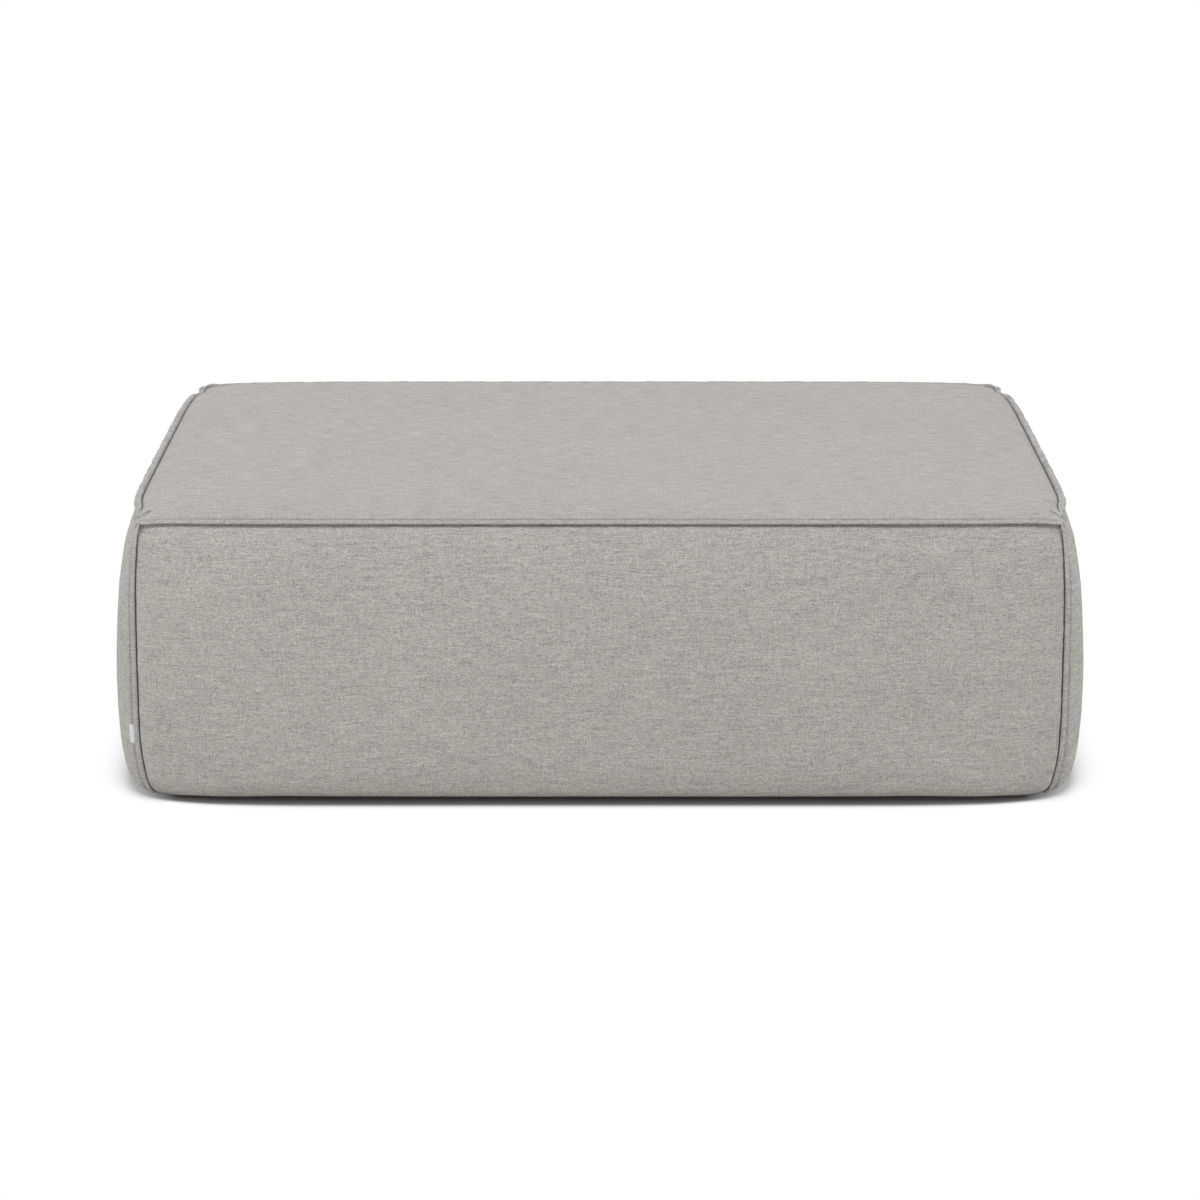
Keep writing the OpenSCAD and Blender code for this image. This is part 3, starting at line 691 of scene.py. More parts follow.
def buildCover(name):
    surface = surfaces[name]
    grid = panelGrid(name, [edgeRows(edge) for edge in edges[name]], seam["field"])
    a, b, reach = grid["a"], grid["b"], grid["reach"]
    base = pastEdges(surface(a, b), reach)
    normal = normalsAt(surface, a, b)
    over, grooves, paintedShade = seamHeights(name, reach, grid["lips"])
    drop, lean, paintedCreaseShade = cornerCreases(name, base)
    shape, base = grooves + drop, base + lean
    if name in relief:
        shape = shape + sampled(relief[name], reach[2] / (reach[2] + reach[3]),
                                reach[0] / (reach[0] + reach[1]))
    outer = base + normal * (over + shape)[..., None]
    inner = base + normal * (shape - form["fabric"])[..., None]
    # the fourth value is the shade painted at stitch lines and creases
    weave = np.stack([(reach[0] - reach[1]) / 2, (reach[3] - reach[2]) / 2,
                      np.full(a.shape, panelShift * list(surfaces).index(name)),
                      np.maximum(paintedShade, paintedCreaseShade)], -1)
    lines = sewnLines(name, outer, normal, reach)
    if name != "Top":
        rows = turnedIn(name, outer[-1])
        steps = arcOf(np.concatenate([outer[-1:], rows]).swapaxes(0, 1))[:, 1:].T
        tail = np.repeat(weave[-1:], len(rows), 0)
        tail[..., 1] -= steps
        weave = np.concatenate([weave, tail])
        outer = np.concatenate([outer, rows])
        inner = np.concatenate([inner, rows + [0, 0, form["fabric"]]])
    return closedSheet("cover" + name, outer, inner, weave), lines


covers, stitchLines = {}, {}
flanges = {"Top": ["top_front", "top_back"],
           "Left": ["top_left", "corner_front_left", "corner_back_left"],
           "Right": ["top_right", "corner_front_right", "corner_back_right"]}
for name in surfaces:
    covers[name], stitchLines[name] = buildCover(name)
    replaced = ["cover_" + name.lower()] + ["flange_" + f for f in flanges.get(name, [])]
    finished(covers[name], "cover_fabric", replaced)
    print("cover", name, len(covers[name].data.polygons), "faces")

# Topstitching: short rounded threads along the lapped edges
stitch = {"length": 3.4 * mm, "pitch": 4.6 * mm, "radius": 0.42 * mm, "rise": 0.15 * mm,
          "endDip": 0.7 * mm, "sides": 6,
          "clear": 10 * mm,       # none this near to the seam's ends
          # rings along it: share of the length, of the radius and of the dip
          "rings": [(-0.5, 0.3, -1), (-0.42, 0.8, -0.5), (0, 1, 0), (0.42, 0.8, -0.5),
                    (0.5, 0.3, -1)]}


def tubes(rings, around, copies):
    # faces of small tubes with an even number of points around and closed ends
    at = np.arange(rings * around).reshape(rings, around)
    faces = [quads(np.pad(at, ((0, 0), (0, 1)), mode="wrap"))]
    for k in range(1, around - 1, 2):
        faces += [at[:1, [0, k, k + 1, k + 2]], at[-1:, [k + 2, k + 1, k, 0]]]
    steps = np.arange(copies)[:, None, None] * at.size
    return (np.concatenate(faces)[None] + steps).reshape(-1, 4)


def pointsAt(places, arc, line):
    return np.stack([np.interp(places, arc, line[:, k]) for k in range(3)], -1)


def stitches(name, lines):
    parts = []
    around = np.linspace(0, 2 * np.pi, stitch["sides"], endpoint=False)
    for line, out, gap in lines:
        arc = arcOf(line)
        kept = arc[gap > stitch["clear"]]
        places = np.arange(kept[0], kept[-1], stitch["pitch"])
        middle, up = pointsAt(places, arc, line), unit(pointsAt(places, arc, out))
        half = stitch["length"] / 2
        along = unit(pointsAt(places + half, arc, line) - pointsAt(places - half, arc, line))
        side = np.cross(along, up)
        rings = []
        for share, thick, dip in stitch["rings"]:
            centre = (middle + along * share * stitch["length"]
                      + up * (stitch["rise"] - stitch["endDip"] * dip * dip))
            for angle in around:
                rings.append(centre + thick * stitch["radius"] * (
                    side * math.cos(angle) + up * math.sin(angle)))
        parts.append(np.stack(rings, 1))
    parts = np.concatenate(parts)
    faces = tubes(len(stitch["rings"]), stitch["sides"], len(parts))[:, ::-1]
    return meshFrom("stitches" + name, parts.reshape(-1, 3), faces)


threads = []
for name, lines in stitchLines.items():
    if lines:
        threads.append(finished(stitches(name, lines), "cover_fabric", []))
print("stitches done")

# Blank tag: folded tape from under the stitched edge of the left end's front seam
tagAt = {"start": 6.7 * mm, "width": 6.9 * mm, "rise": 0.5 * mm, "thick": 1.0 * mm,
         "curl": 0.9 * mm, "round": 0.4 * mm, "wave": 0.25 * mm, "cols": 16, "rows": 18,
         "waveTurn": 5, "edgeFrom": 0.92, "edgeFall": 0.0075, "edgeLeast": 0.02,
         "within": 0.8, "steps": 400}      # it is measured from the seam to this place


def tagSheet():
    low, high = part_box("side_tag")
    z = np.linspace(high.z, low.z, tagAt["rows"])
    t = tagAt["start"] + tagAt["width"] * np.linspace(0, 1, tagAt["cols"])
    dense = np.linspace(1, tagAt["within"], tagAt["steps"])
    surface = surfaces["Left"]
    rowPoints, rowNormals = [], []
    for drop in form["seamHeight"] - z:
        b = np.interp(drop, tableDrop, tableB) * 2 - 1
        line = surface(dense, np.full_like(dense, b))
        a = np.interp(t, arcOf(line), dense)
        rowPoints.append(surface(a, np.full_like(a, b)))
        rowNormals.append(normalsAt(surface, a, np.full_like(a, b)))
    p, n = np.stack(rowPoints), np.stack(rowNormals)
    out = np.linspace(0, 1, tagAt["cols"])
    edge = np.minimum(np.arange(tagAt["rows"]), np.arange(tagAt["rows"])[::-1])
    rounding = np.where(edge == 0, tagAt["round"], 0)[:, None]
    turns = np.linspace(0, tagAt["waveTurn"], tagAt["rows"])
    wave = tagAt["wave"] * np.sin(turns)[:, None] * out
    lift = tagAt["rise"] + tagAt["curl"] * out ** 3 + wave
    fall = np.clip(out - tagAt["edgeFrom"], 0, 1) ** 2 / tagAt["edgeFall"]
    full = tagAt["thick"] * np.sqrt(np.clip(1 - fall, tagAt["edgeLeast"], 1))
    return p + n * (lift + full - 0.5 * rounding)[..., None], p + n * lift[..., None]


top, bottom = tagSheet()
tag = finished(closedSheet("sideTag", top, bottom), "tag_tape", ["side_tag"])

# Hidden padding: as the solids, with many more faces, and drawn in beside the seams
padding = {
    "gap": 0.4 * mm,          # air between neighbours
    "fibre": 10 * mm,         # thickness of the wadding
    "lift": 4 * mm,           # the side layers end this far above the cover's foot
    "foamEdge": 3 * mm,       # thinnest edge of the side foam
    "spacing": 15 * mm,
    "edgeRows": (0, 2, 4.5, 8, 12),       # mm from each edge
    "drawnIn": 5.5 * mm,      # depth beside a seam, and how far this reaches
    "drawnReach": 9 * mm,
    "cornerAt": (587 * mm, 400 * mm),     # and at the top corners
    "cornerReach": 24 * mm,
    "uneven": 0.5 * mm,       # of the wadding's surface
    "foamUneven": 0.2 * mm,
    "foamDip": 0.3,           # the foam is drawn in by this share
    "foamLeast": 0.8,         # of its thinnest edge that stays
    "squeeze": 0.7,           # the wadding gives way by this share of its thickness at most
    "seed": 23,
}
fibreDepth = form["fabric"] + padding["gap"]
foamDepth = fibreDepth + padding["fibre"] + padding["gap"]


def layer(name, depth, hold, uneven, shift):
    # one face of a hidden layer, this deep under the cover
    rows = [np.array([[t * mm, 1.0] for t in padding["edgeRows"]])] * 4
    grid = panelGrid(name, rows, padding["spacing"])
    a, b, reach = grid["a"], grid["b"], grid["reach"]
    if name == "Top":
        p = topSurface(a, b, depth)
    else:
        turn, along, out = sides[name]
        p = turned(surfaces[name](a, b, depth, padding["lift"]), -turn)
        inset = form["frameInset"]
        wide = np.abs(np.sin(a * np.pi / 2)) * (along - inset + hold)
        p[..., 0] = np.sign(p[..., 0]) * np.maximum(np.abs(p[..., 0]), wide)
        p[..., 1] = np.minimum(p[..., 1], -(out - inset + hold))
        p = turned(p, turn)
    n = normalsAt(surfaces[name], a, b)
    near = np.minimum.reduce(reach[:3] if name != "Top" else reach)
    rng = np.random.default_rng(padding["seed"] + shift)
    rough = smoothed(rng.uniform(-1, 1, near.shape), passes=1) * uneven
    x, y = (np.abs(p[..., k]) - padding["cornerAt"][k] for k in (0, 1))
    fromCorner = np.hypot(np.hypot(x, y), np.minimum(p[..., 2] - form["seamHeight"], 0))
    drawn = np.maximum(bell(near, padding["drawnReach"]), bell(fromCorner, padding["cornerReach"]))
    dip = (padding["drawnIn"] - rough) * drawn + (rough + uneven) / 2
    return p, n, dip, grid


def buildWadding(name, shift):
    hold = padding["foamEdge"] + 2 * padding["gap"]
    depth, thick = fibreDepth, padding["fibre"]
    p, n, dip = layer(name, depth, hold + thick, padding["uneven"], shift)[:3]
    q = layer(name, depth + thick, hold, 0, shift)[0]
    outer = p - n * dip[..., None]
    thin = np.linalg.norm(p - q, axis=-1, keepdims=True)
    inner = q - n * np.clip(dip[..., None] - padding["squeeze"] * thin, 0, None)
    return closedSheet("wadding" + name, outer, inner)


def buildFoam(name, shift):
    hold = padding["foamEdge"] + padding["gap"]
    p, n, dip, grid = layer(name, foamDepth, hold, padding["foamUneven"], shift)
    turn, along, out = sides[name]
    local = turned(p - n * (dip * padding["foamDip"])[..., None], -turn)
    flat = local.copy()
    flat[..., 0] = np.sin(grid["a"] * np.pi / 2) * (along - form["frameInset"])
    flat[..., 1] = -(out - form["frameInset"] + padding["gap"])
    least = padding["foamEdge"] * padding["foamLeast"]
    local[..., 1] = np.minimum(local[..., 1], flat[..., 1] - least)
    return closedSheet("foam" + name, turned(local, turn), turned(flat, turn))


soft = {}
for shift, name in enumerate(surfaces):
    soft["wadding" + name] = finished(buildWadding(name, shift), "fibre_wadding",
                                      ["wadding_" + name.lower()])
    if name != "Top":
        soft["foam" + name] = finished(buildFoam(name, shift), "foam",
                                       ["foam_" + name.lower()])


def evenGrid(sizeX, sizeY, lines):
    # places over a flat piece, and their distance from its edge, from its half sizes
    px, py = np.meshgrid(np.linspace(-sizeX, sizeX, lines[0]),
                         np.linspace(sizeY, -sizeY, lines[1]))
    return px, py, np.minimum(sizeX - np.abs(px), sizeY - np.abs(py))


# Cut block of foam under the top wadding, inside the frame's outline
block = {"lines": (75, 56), "edgeDrop": 2 * mm, "edgeReach": 3 * mm}


def seatFoam():
    low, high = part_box("seat_foam_block")
    px, py, edge = evenGrid(frameX, frameY, block["lines"])
    a = np.arcsin(np.clip(px / halfX, -1, 1)) * 2 / np.pi
    b = -np.arcsin(np.clip(py / halfY, -1, 1)) * 2 / np.pi
    z = np.minimum(topSurface(a, b, foamDepth)[..., 2], high.z)
    z = z - block["edgeDrop"] * bell(edge, block["edgeReach"])
    outer = np.stack([px, py, z], -1)
    inner = np.stack([px, py, np.full_like(z, low.z)], -1)
    return closedSheet("seatFoamBlock", outer, inner)


soft["seatFoam"] = finished(seatFoam(), "foam", ["seat_foam_block"])

# Thin cloths in the places of the CAD sheets, a little uneven but flat beside their edges
sheets = {
    "insulatorFelt": {"node": "insulator_felt", "slot": "felt", "lines": (90, 66),
                      "wave": 0.45 * mm, "hang": 0},
    "dustCover": {"node": "dust_cover", "slot": "dust_cloth", "lines": (110, 80),
                  "wave": 1.05 * mm, "hang": 0.7 * mm},
}
flatEdge = (4 * mm, 60 * mm)


def flatSheet(name):
    sheet = sheets[name]
    low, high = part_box(sheet["node"])
    px, py, edge = evenGrid(high.x, high.y, sheet["lines"])
    rng = np.random.default_rng(sum(sheet["lines"]))
    uneven = smoothed(rng.uniform(-1, 1, px.shape), passes=6)
    bend = (uneven * sheet["wave"] - sheet["hang"]) * ease(edge, *flatEdge)
    up = np.stack([px, py, high.z + bend], -1)
    down = np.stack([px, py, low.z + bend], -1)
    piece = finished(closedSheet(name, up, down), sheet["slot"], [sheet["node"]])
    return piece, (high.x - low.x, high.y - low.y)


felt, feltSize = flatSheet("insulatorFelt")
dust, dustSize = flatSheet("dustCover")
print("felt", [round(x, 4) for x in feltSize], "dust cover", [round(x, 4) for x in dustSize])

# Hem folded under the edge of the dust cover
hemFold = {"width": 14 * mm, "thick": 0.5 * mm, "points": 60}


def hemStrip():
    low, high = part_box("dust_cover")
    t = np.linspace(-1, 1, hemFold["points"], endpoint=False)
    ones = np.ones(len(t))
    rings = []
    for inset, down in ((0, 0), (0, 1), (1, 1), (1, 0)):
        hx, hy = high.x - inset * hemFold["width"], high.y - inset * hemFold["width"]
        x = np.concatenate([t * hx, ones * hx, -t * hx, -ones * hx])
        y = np.concatenate([-ones * hy, t * hy, ones * hy, -t * hy])
        rings.append(np.stack([x, y, np.full_like(x, low.z - down * hemFold["thick"])], -1))
    at = np.arange(4 * len(x)).reshape(4, -1)
    at = np.pad(at, ((0, 1), (0, 1)), mode="wrap")
    return meshFrom("dustCoverHem", np.concatenate(rings), quads(at))


hem = finished(hemStrip(), "dust_cloth", [])

# Staples through the hem and the turned-in fabric
staple = {"crown": 10 * mm, "wire": 1.2 * mm, "high": 0.5 * mm, "into": 0.3 * mm,
          "bevel": 0.2 * mm, "pitch": 55 * mm, "inset": 6 * mm, "ends": 30 * mm,
          "jitter": 4, "seed": 3}


def staples():
    low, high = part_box("dust_cover")
    rng = np.random.default_rng(staple["seed"])
    l, w, h, e = staple["crown"] / 2, staple["wire"] / 2, staple["high"], staple["bevel"]
    levels = ((staple["into"], 0), (e - h, 0), (-h, e))
    bar = np.array([[sx * (l - c), sy * (w - c), z] for z, c in levels
                    for sx, sy in ((-1, -1), (1, -1), (1, 1), (-1, 1))])
    parts = []
    for side in range(4):
        hx, hy = (high.y, high.x) if side % 2 else (high.x, high.y)
        first = hx - staple["ends"]
        for x in np.linspace(-first, first, int(2 * first / staple["pitch"])):
            place = [x, staple["inset"] - hy, low.z - hemFold["thick"]]
            parts.append(turned(turned(bar, rng.normal(0, staple["jitter"])) + place, 90 * side))
    faces = tubes(len(levels), 4, len(parts))
    piece = meshFrom("staples", np.concatenate(parts), faces)
    piece.data.polygons.foreach_set("use_smooth", np.zeros(len(faces), bool))
    return piece


staplePiece = finished(staples(), "spring_steel", [])
print("staples done")


# Materials
def put(tree, kind, inputs={}, **settings):
    node = tree.nodes.new("ShaderNode" + kind)
    for key, value in settings.items():
        setattr(node, key, value)
    for key, value in inputs.items():
        if isinstance(value, bpy.types.NodeSocket):
            tree.links.new(value, node.inputs[key])
        else:
            node.inputs[key].default_value = value
    return node


def calc(tree, operation, *values):
    return put(tree, "Math", dict(enumerate(values)), operation=operation).outputs[0]


def noise(tree, vector, cells, detail=2.0, rough=0.5):
    # cells are the sizes in metres of a spot along each direction
    scaled = put(tree, "VectorMath", {0: vector, 1: [1 / c for c in cells]}, operation="MULTIPLY")
    return put(tree, "TexNoise", {"Vector": scaled.outputs[0], "Scale": 1.0, "Detail": detail,
                                  "Roughness": rough}).outputs[0]


def blend(tree, share, one, other):
    return put(tree, "Mix", {0: share, 6: one, 7: other}, data_type="RGBA").outputs[2]


def remap(tree, value, low, high, newLow, newHigh):
    return put(tree, "MapRange", {0: value, 1: low, 2: high, 3: newLow, 4: newHigh}).outputs[0]


def ripples(tree, vector, axes, pitch):
    # even waves along the axes, this many mm apart
    parts = put(tree, "SeparateXYZ", {0: vector})
    turns = 2 * math.pi / (pitch * mm)
    waves = [calc(tree, "SINE", calc(tree, "MULTIPLY", parts.outputs[k], turns)) for k in axes]
    return waves[0] if len(waves) == 1 else calc(tree, "MULTIPLY", *waves)


def newMaterial(name):
    made = bpy.data.materials.new(name)
    made.use_nodes = True
    tree = made.node_tree
    return made, tree, tree.nodes["Principled BSDF"]


def bumped(tree, shader, height, distance):
    node = put(tree, "Bump", {"Height": height, "Distance": distance, "Strength": 1.0})
    tree.links.new(node.outputs[0], shader.inputs["Normal"])


def paint(piece, made):
    piece.data.materials.clear()
    piece.data.materials.append(made)


fabric = {
    "colour": (0.449, 0.4255, 0.3965),
    # each layer of streaks: cells along the weft and warp in mm, and its share of the tone.
    # The cells' third size grows from layer to layer, which keeps their patterns apart
    "streaks": [((26, 1.5), 0.15), ((7, 1.3), 0.20), ((1.6, 22), 0.11), ((1.6, 1.4), 0.43),
                ((30, 5), 0.05), ((220, 160), 0.03)],
    "thirdSize": (13, 2),
    "streakNoise": (2.0, 0.6),
    "contrast": 4,            # makes up for noise that stays close to its middle
    "raisedBy": (1, 3),       # layers that raise the surface
    "fuzzyBy": (3, 4),        # and that make the fuzz uneven
    # cells, layer, span of the noise and share: thicker pale stretches, warm and cool yarns
    "slubs": ((9, 1.2), 2, (0.58, 0.78), 0.13),
    "fleck": ((3.0, 1.4), 4, (0.3, 0.7), 0.017),
    "pitch": 1.15,            # of the weave, in mm
    "weaveDepth": 0.05,
    "slubDepth": 0.12,
    "paintedShadeStrength": 0.25,     # painted shade at the stitches and in the creases, where little light reaches
    "paintedShadeMost": 2.0,
    "rough": 0.92,
    "specular": 0.25,
    "sheen": 0.22,
    "sheenTint": (1.0, 0.955, 0.90, 1),
    "sheenRough": 0.5,
    "fuzzShare": 5.0,         # how unevenly the fuzz that gives the sheen lies
}


def fabricMaterial():
    made, tree, shader = newMaterial("melangeWeave")
    weave = put(tree, "Attribute", attribute_name="weave").outputs["Vector"]

    def yarns(size, layer, detail=1.0, rough=0.5):
        first, growth = fabric["thirdSize"]
        cells = size + (first + growth * layer,)
        return noise(tree, weave, [cell * mm for cell in cells], detail, rough)

    tone, raised, fuzz = 1.0, 0.0, 0.0
    for count, (size, share) in enumerate(fabric["streaks"]):
        centred = calc(tree, "SUBTRACT", yarns(size, count, *fabric["streakNoise"]), 0.5)
        streak = calc(tree, "MULTIPLY", centred, share * fabric["contrast"])
        tone = calc(tree, "ADD", tone, streak)
        if count in fabric["raisedBy"]:
            raised = calc(tree, "ADD", raised, centred)
        if count in fabric["fuzzyBy"]:
            fuzz = calc(tree, "ADD", fuzz, centred)
    size, count, span, share = fabric["slubs"]
    tone = calc(tree, "ADD", tone, remap(tree, yarns(size, count), *span, 0.0, share))
    size, count, span, share = fabric["fleck"]
    warm = remap(tree, yarns(size, count), *span, -share, share)
    # painted shade: the fabric's colour is darkened at the stitch lines and in the creases
    paintedShade, most = put(tree, "Attribute", attribute_name="paintedShade"), fabric["paintedShadeMost"]
    shade = remap(tree, paintedShade.outputs["Fac"], 0.0, most,
                  1.0, 1 - most * fabric["paintedShadeStrength"])
    tone = calc(tree, "MULTIPLY", tone, shade)
    tint = put(tree, "CombineColor", {0: calc(tree, "ADD", 1.0, warm), 1: 1.0,
                                      2: calc(tree, "SUBTRACT", 1.0, warm)}).outputs[0]
    colour = put(tree, "VectorMath", {0: tint, 1: fabric["colour"]}, operation="MULTIPLY")
    colour = put(tree, "VectorMath", {0: colour.outputs[0], "Scale": tone}, operation="SCALE")
    tree.links.new(colour.outputs[0], shader.inputs["Base Color"])
    cross = ripples(tree, weave, (0, 1), fabric["pitch"])
    height = calc(tree, "ADD", calc(tree, "MULTIPLY", cross, fabric["weaveDepth"] * mm),
                  calc(tree, "MULTIPLY", raised, fabric["slubDepth"] * mm))
    bumped(tree, shader, height, 1.0)
    shader.inputs["Roughness"].default_value = fabric["rough"]
    fuzz = calc(tree, "MULTIPLY_ADD", fuzz, fabric["sheen"] * fabric["fuzzShare"], fabric["sheen"])
    fuzz = put(tree, "Clamp", {0: fuzz, 1: 0.0, 2: 1.0}).outputs[0]
    tree.links.new(fuzz, shader.inputs["Sheen Weight"])
    shader.inputs["Sheen Roughness"].default_value = fabric["sheenRough"]
    shader.inputs["Sheen Tint"].default_value = fabric["sheenTint"]
    shader.inputs["Specular IOR Level"].default_value = fabric["specular"]
    return made


# A plain finish is a little cloudy, and the clouds are larger than its grain
clouds = {"strength": 0.05, "size": 8, "detail": 2.0, "span": (0.3, 0.7), "grainDetail": 3.0}


def plain(colour, rough, grain, depth, metal=0.0):
    shades = 1 - clouds["strength"], 1 + clouds["strength"]
    return {"spots": ((clouds["size"] * grain,) * 3, clouds["detail"]), "span": clouds["span"],
            "colours": [tuple(c * shade for c in colour) for shade in shades],
            "grain": ((grain,) * 3, clouds["grainDetail"]),
            "rough": rough, "depth": depth, "metal": metal}


# In each finish a pattern of cells, spots or waves mixes two colours and raises the surface.
# Sizes and depths are in mm
finishes = {
    "polyurethaneFoam": {"cells": 1.6, "span": (0.1, 0.6), "rough": 0.95, "depth": 0.5,
                         "colours": ((0.60, 0.52, 0.33), (0.78, 0.71, 0.50))},
    "fibreWadding": {"spots": ((9, 2.5, 4), 6.0, 0.7), "span": (0.3, 0.7), "rough": 1.0,
                     "depth": 1.5, "colours": ((0.68, 0.68, 0.66), (0.86, 0.86, 0.84))},
    "recycledFelt": {"spots": ((3, 3, 3), 5.0, 0.8), "span": (0.35, 0.65), "rough": 1.0,
                     "depth": 0.8, "colours": ((0.10, 0.105, 0.12), (0.36, 0.35, 0.34)),
                     "fleck": (((5, 4, 5), 3.0), (0.6, 0.7), 0.5, (0.30, 0.16, 0.13))},
    "spunbondCloth": {"waves": ((0, 1), 2.2), "span": (-1.0, 1.0), "rough": 0.8, "depth": 0.1,
                      "colours": ((0.018, 0.018, 0.02), (0.035, 0.035, 0.038))},
    "satinTape": {"waves": ((2,), 0.5), "span": (-1.0, 1.0), "rough": 0.5, "depth": 0.05,
                  "colours": ((0.68, 0.72, 0.74), (0.77, 0.80, 0.81))},
    "sewingThread": plain((0.40, 0.375, 0.345), 0.8, 0.3, 0.02),
    "springSteel": plain((0.20, 0.19, 0.18), 0.38, 2.0, 0.01, 1.0),
    "zincSteel": plain((0.62, 0.62, 0.64), 0.3, 1.5, 0.01, 1.0),
    "blackPlastic": plain((0.022, 0.022, 0.023), 0.45, 0.6, 0.03),
}


def finishMaterial(name):
    finish = finishes[name]
    made, tree, shader = newMaterial(name)
    place = put(tree, "TexCoord").outputs["Object"]

    def spots(sizes, detail, rough=0.5):
        return noise(tree, place, [size * mm for size in sizes], detail, rough)

    if "cells" in finish:
        scale = 1 / (finish["cells"] * mm)
        value = put(tree, "TexVoronoi", {"Vector": place, "Scale": scale}).outputs["Distance"]
    elif "waves" in finish:
        value = ripples(tree, place, *finish["waves"])
    else:
        value = spots(*finish["spots"])
    low, high = finish["colours"]
    share = remap(tree, value, *finish["span"], 0.0, 1.0)
    colour = blend(tree, share, low + (1,), high + (1,))
    if "fleck" in finish:
        cells, span, most, tint = finish["fleck"]
        share = remap(tree, spots(*cells), *span, 0.0, most)
        colour = blend(tree, share, colour, tint + (1,))
    tree.links.new(colour, shader.inputs["Base Color"])
    shader.inputs["Roughness"].default_value = finish["rough"]
    shader.inputs["Metallic"].default_value = finish.get("metal", 0.0)
    if "grain" in finish:
        value = spots(*finish["grain"])
    bumped(tree, shader, value, finish["depth"] * mm)
    return made


wood = {
    # cells across and along the grain in mm, detail and roughness of the noise
    "rings": ((6, 260), 4.0, 0.6),
    "pores": ((0.9, 30), 2.0, 0.6),
    "ringShare": 0.65,
    "span": (0.35, 0.65),
    "plySpan": (-0.3, 0.3),
    "plyShade": 0.62,         # cross plies are this much darker
    "facing": (0.4, 0.6),     # they show on faces square to the board's own
    "rough": 0.75,
    "depth": 0.15,
    # pale and dark colour, and what two plies measure
    "pine": ((0.66, 0.47, 0.27), (0.50, 0.32, 0.16), None),
    "plywood": ((0.70, 0.54, 0.36), (0.56, 0.40, 0.24), 3.6),
}


def woodMaterial(kind, grain):
    # the grain runs along one axis
    pale, dark, plies = wood[kind]
    made, tree, shader = newMaterial(kind + "Along" + "XYZ"[grain])
    place = put(tree, "TexCoord").outputs["Object"]

    def pattern(sizes, detail, rough):
        cells = [sizes[axis == grain] * mm for axis in range(3)]
        return noise(tree, place, cells, detail, rough)

    rings, pores = pattern(*wood["rings"]), pattern(*wood["pores"])
    mixed = calc(tree, "ADD", calc(tree, "MULTIPLY", rings, wood["ringShare"]),
                 calc(tree, "MULTIPLY", pores, 1 - wood["ringShare"]))
    share = remap(tree, mixed, *wood["span"], 0.0, 1.0)
    colour = blend(tree, share, dark + (1,), pale + (1,))
    if plies:
        band = remap(tree, ripples(tree, place, (1 - grain,), plies), *wood["plySpan"], 0.0, 1.0)
        cross = tuple(c * wood["plyShade"] for c in dark)
        layered = blend(tree, band, cross + (1,), pale + (1,))
        facing = put(tree, "SeparateXYZ", {0: put(tree, "NewGeometry").outputs["True Normal"]})
        facing = calc(tree, "ABSOLUTE", facing.outputs[1 - grain])
        colour = blend(tree, remap(tree, facing, *wood["facing"], 1.0, 0.0), colour, layered)
    tree.links.new(colour, shader.inputs["Base Color"])
    shader.inputs["Roughness"].default_value = wood["rough"]
    bumped(tree, shader, pores, wood["depth"] * mm)
    return made


weaveMaterial = fabricMaterial()
for piece in covers.values():
    paint(piece, weaveMaterial)
coats = {name: finishMaterial(name) for name in finishes}
for piece in threads:
    paint(piece, coats["sewingThread"])
for name, piece in soft.items():
    paint(piece, coats["fibreWadding" if name.startswith("wadding") else "polyurethaneFoam"])
paint(tag, coats["satinTape"])
paint(felt, coats["recycledFelt"])
paint(dust, coats["spunbondCloth"])
paint(hem, coats["spunbondCloth"])
paint(staplePiece, coats["zincSteel"])
timber = [woodMaterial("pine", axis) for axis in range(3)]
plywood = [woodMaterial("plywood", axis) for axis in range(2)]


def materialFor(node):
    alongX = node.endswith(("front", "back"))
    if node.startswith("board"):
        return plywood[0 if alongX else 1]
    if node.startswith("post"):
        return timber[2]
    if node.startswith(("rail", "brace")):
        return timber[0 if alongX else 1]
    if node.startswith("spring"):
        return coats["springSteel"]
    if "screws" in node:
        return coats["zincSteel"]
    return coats["blackPlastic"] if node.startswith("foot") else None


softEdge = {"width": 0.8 * mm, "angle": 50}
painted = 0
for node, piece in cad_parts.items():
    suited = materialFor(node)
    if suited is not None:
        paint(piece, suited)
        painted += 1
    if node.startswith(("board", "post", "rail", "brace")):
        bevel = piece.modifiers.new("softEdges", "BEVEL")
        bevel.width = softEdge["width"]
        bevel.segments = 2
        bevel.limit_method = "ANGLE"
        bevel.angle_limit = math.radians(softEdge["angle"])
print("materials done,", painted, "solids painted")

# Camera: low in front of the middle
cameraPlace = {"at": (0, -5.1815, 1.5094), "tilt": 75.80, "lens": 115.07, "sensor": 36,
               "shift": -0.0269}
cameraData = bpy.data.cameras.new("camera")
cameraData.lens = cameraPlace["lens"]
cameraData.sensor_width = cameraPlace["sensor"]
cameraData.shift_y = cameraPlace["shift"]
camera = bpy.data.objects.new("camera", cameraData)
camera.location = cameraPlace["at"]
camera.rotation_euler = (math.radians(cameraPlace["tilt"]), 0, 0)
scene.collection.objects.link(camera)
scene.camera = camera

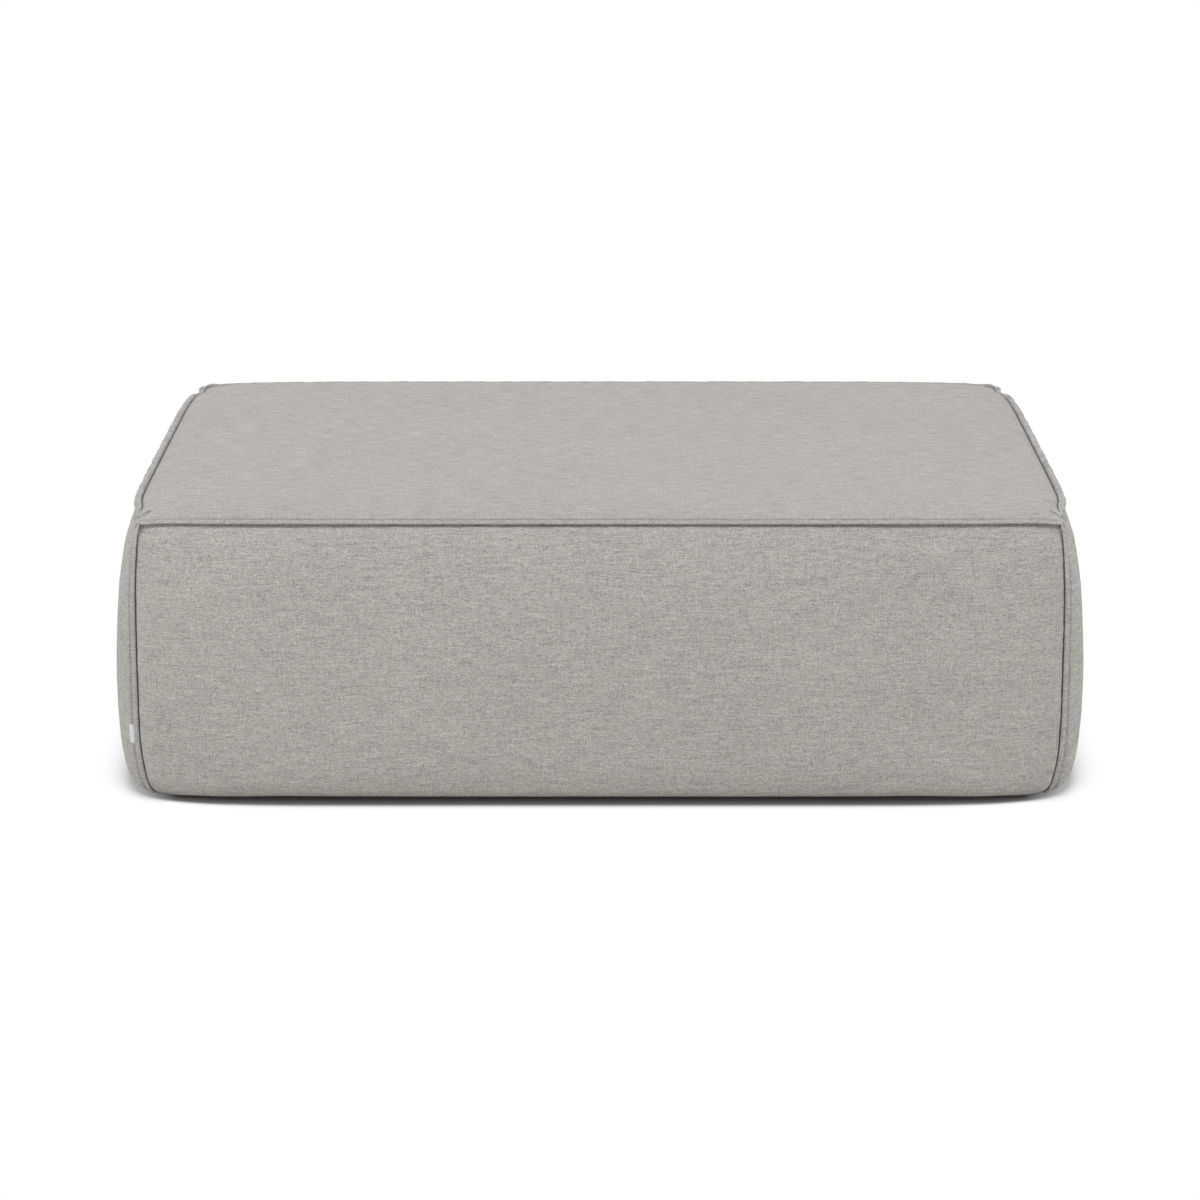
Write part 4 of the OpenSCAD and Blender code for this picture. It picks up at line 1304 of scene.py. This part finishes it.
# Studio: white surroundings, a soft lamp on each side, and a floor that keeps the close shadow
studio = {
    "surround": 0.86,         # strength of the white surroundings
    "sidePowers": (31, 22),   # left and right lamp
    "sideSize": 2.0,
    "sideAt": (3.2, -2.8, 1.5),
    "sideTilt": 74,
    "floorHalf": 30,
    "floorShade": 0.31,       # darker colour the camera sees in the shadow, painted shade
    "floorBounce": (0.61, 0.59, 0.565, 1),      # what the floor throws back on the object
    "shadowReach": 0.13,
    "shadowSamples": 16,
    "shadowFrom": 0.31,
    # the shadow fades out at the first openness, and beside the ends at the second
    "shadowTo": (0.50, 0.64),
    "endShade": 0.30,         # beside the ends, where the cover hangs low, the shadow is painted paler by this share
    "endsFrom": (0.55, 0.60),
}


def lightPathShare(tree):
    path = put(tree, "LightPath")
    either = calc(tree, "MAXIMUM", path.outputs["Is Camera Ray"], path.outputs["Is Glossy Ray"])
    return calc(tree, "MAXIMUM", either, path.outputs["Is Transmission Ray"])


world = bpy.data.worlds.new("studio")
scene.world = world
world.use_nodes = True
tree = world.node_tree
background = tree.nodes["Background"]
background.inputs[0].default_value = (1, 1, 1, 1)
level = calc(tree, "MULTIPLY_ADD", lightPathShare(tree), 1 - studio["surround"], studio["surround"])
tree.links.new(level, background.inputs[1])

for side, power in zip((-1, 1), studio["sidePowers"]):
    data = bpy.data.lights.new("sideLamp", "AREA")
    data.energy = power
    data.size = studio["sideSize"]
    lamp = bpy.data.objects.new("sideLamp", data)
    x, y, z = studio["sideAt"]
    lamp.location = (side * x, y, z)
    lamp.rotation_euler = (math.radians(studio["sideTilt"]), 0, side * math.atan2(x, -y))
    scene.collection.objects.link(lamp)

half = studio["floorHalf"]
floor = [(-half, -half, 0), (half, -half, 0), (half, half, 0), (-half, half, 0)]
floor = meshFrom("floor", floor, [(0, 1, 2, 3)])
floorWhite, tree, shader = newMaterial("floorWhite")
# painted shade: the camera sees the floor darker than the light it throws back
seen = put(tree, "LightPath").outputs["Is Camera Ray"]
tree.links.new(blend(tree, seen, studio["floorBounce"], (studio["floorShade"],) * 3 + (1,)),
               shader.inputs["Base Color"])
shader.inputs["Roughness"].default_value = 1.0
shader.inputs["Specular IOR Level"].default_value = 0
glow = put(tree, "Emission", {"Color": (1, 1, 1, 1), "Strength": 1.0})
openness = put(tree, "AmbientOcclusion", {"Distance": studio["shadowReach"]},
               samples=studio["shadowSamples"]).outputs["AO"]
place = put(tree, "SeparateXYZ", {0: put(tree, "NewGeometry").outputs["Position"]})
# painted shadow: beside the ends it is made wider and paler by the position across the floor
ends = remap(tree, calc(tree, "ABSOLUTE", place.outputs[0]), *studio["endsFrom"], 0.0, 1.0)
share = put(tree, "MapRange", {0: openness, 1: studio["shadowFrom"],
                               2: remap(tree, ends, 0.0, 1.0, *studio["shadowTo"])},
            interpolation_type="SMOOTHSTEP").outputs[0]
share = calc(tree, "MAXIMUM", share, calc(tree, "MULTIPLY", ends, studio["endShade"]))
share = calc(tree, "MULTIPLY", share, lightPathShare(tree))
mixed = put(tree, "MixShader", {0: share, 1: shader.outputs[0], 2: glow.outputs[0]})
tree.links.new(mixed.outputs[0], tree.nodes["Material Output"].inputs[0])
paint(floor, floorWhite)

scene.view_settings.view_transform = "Standard"
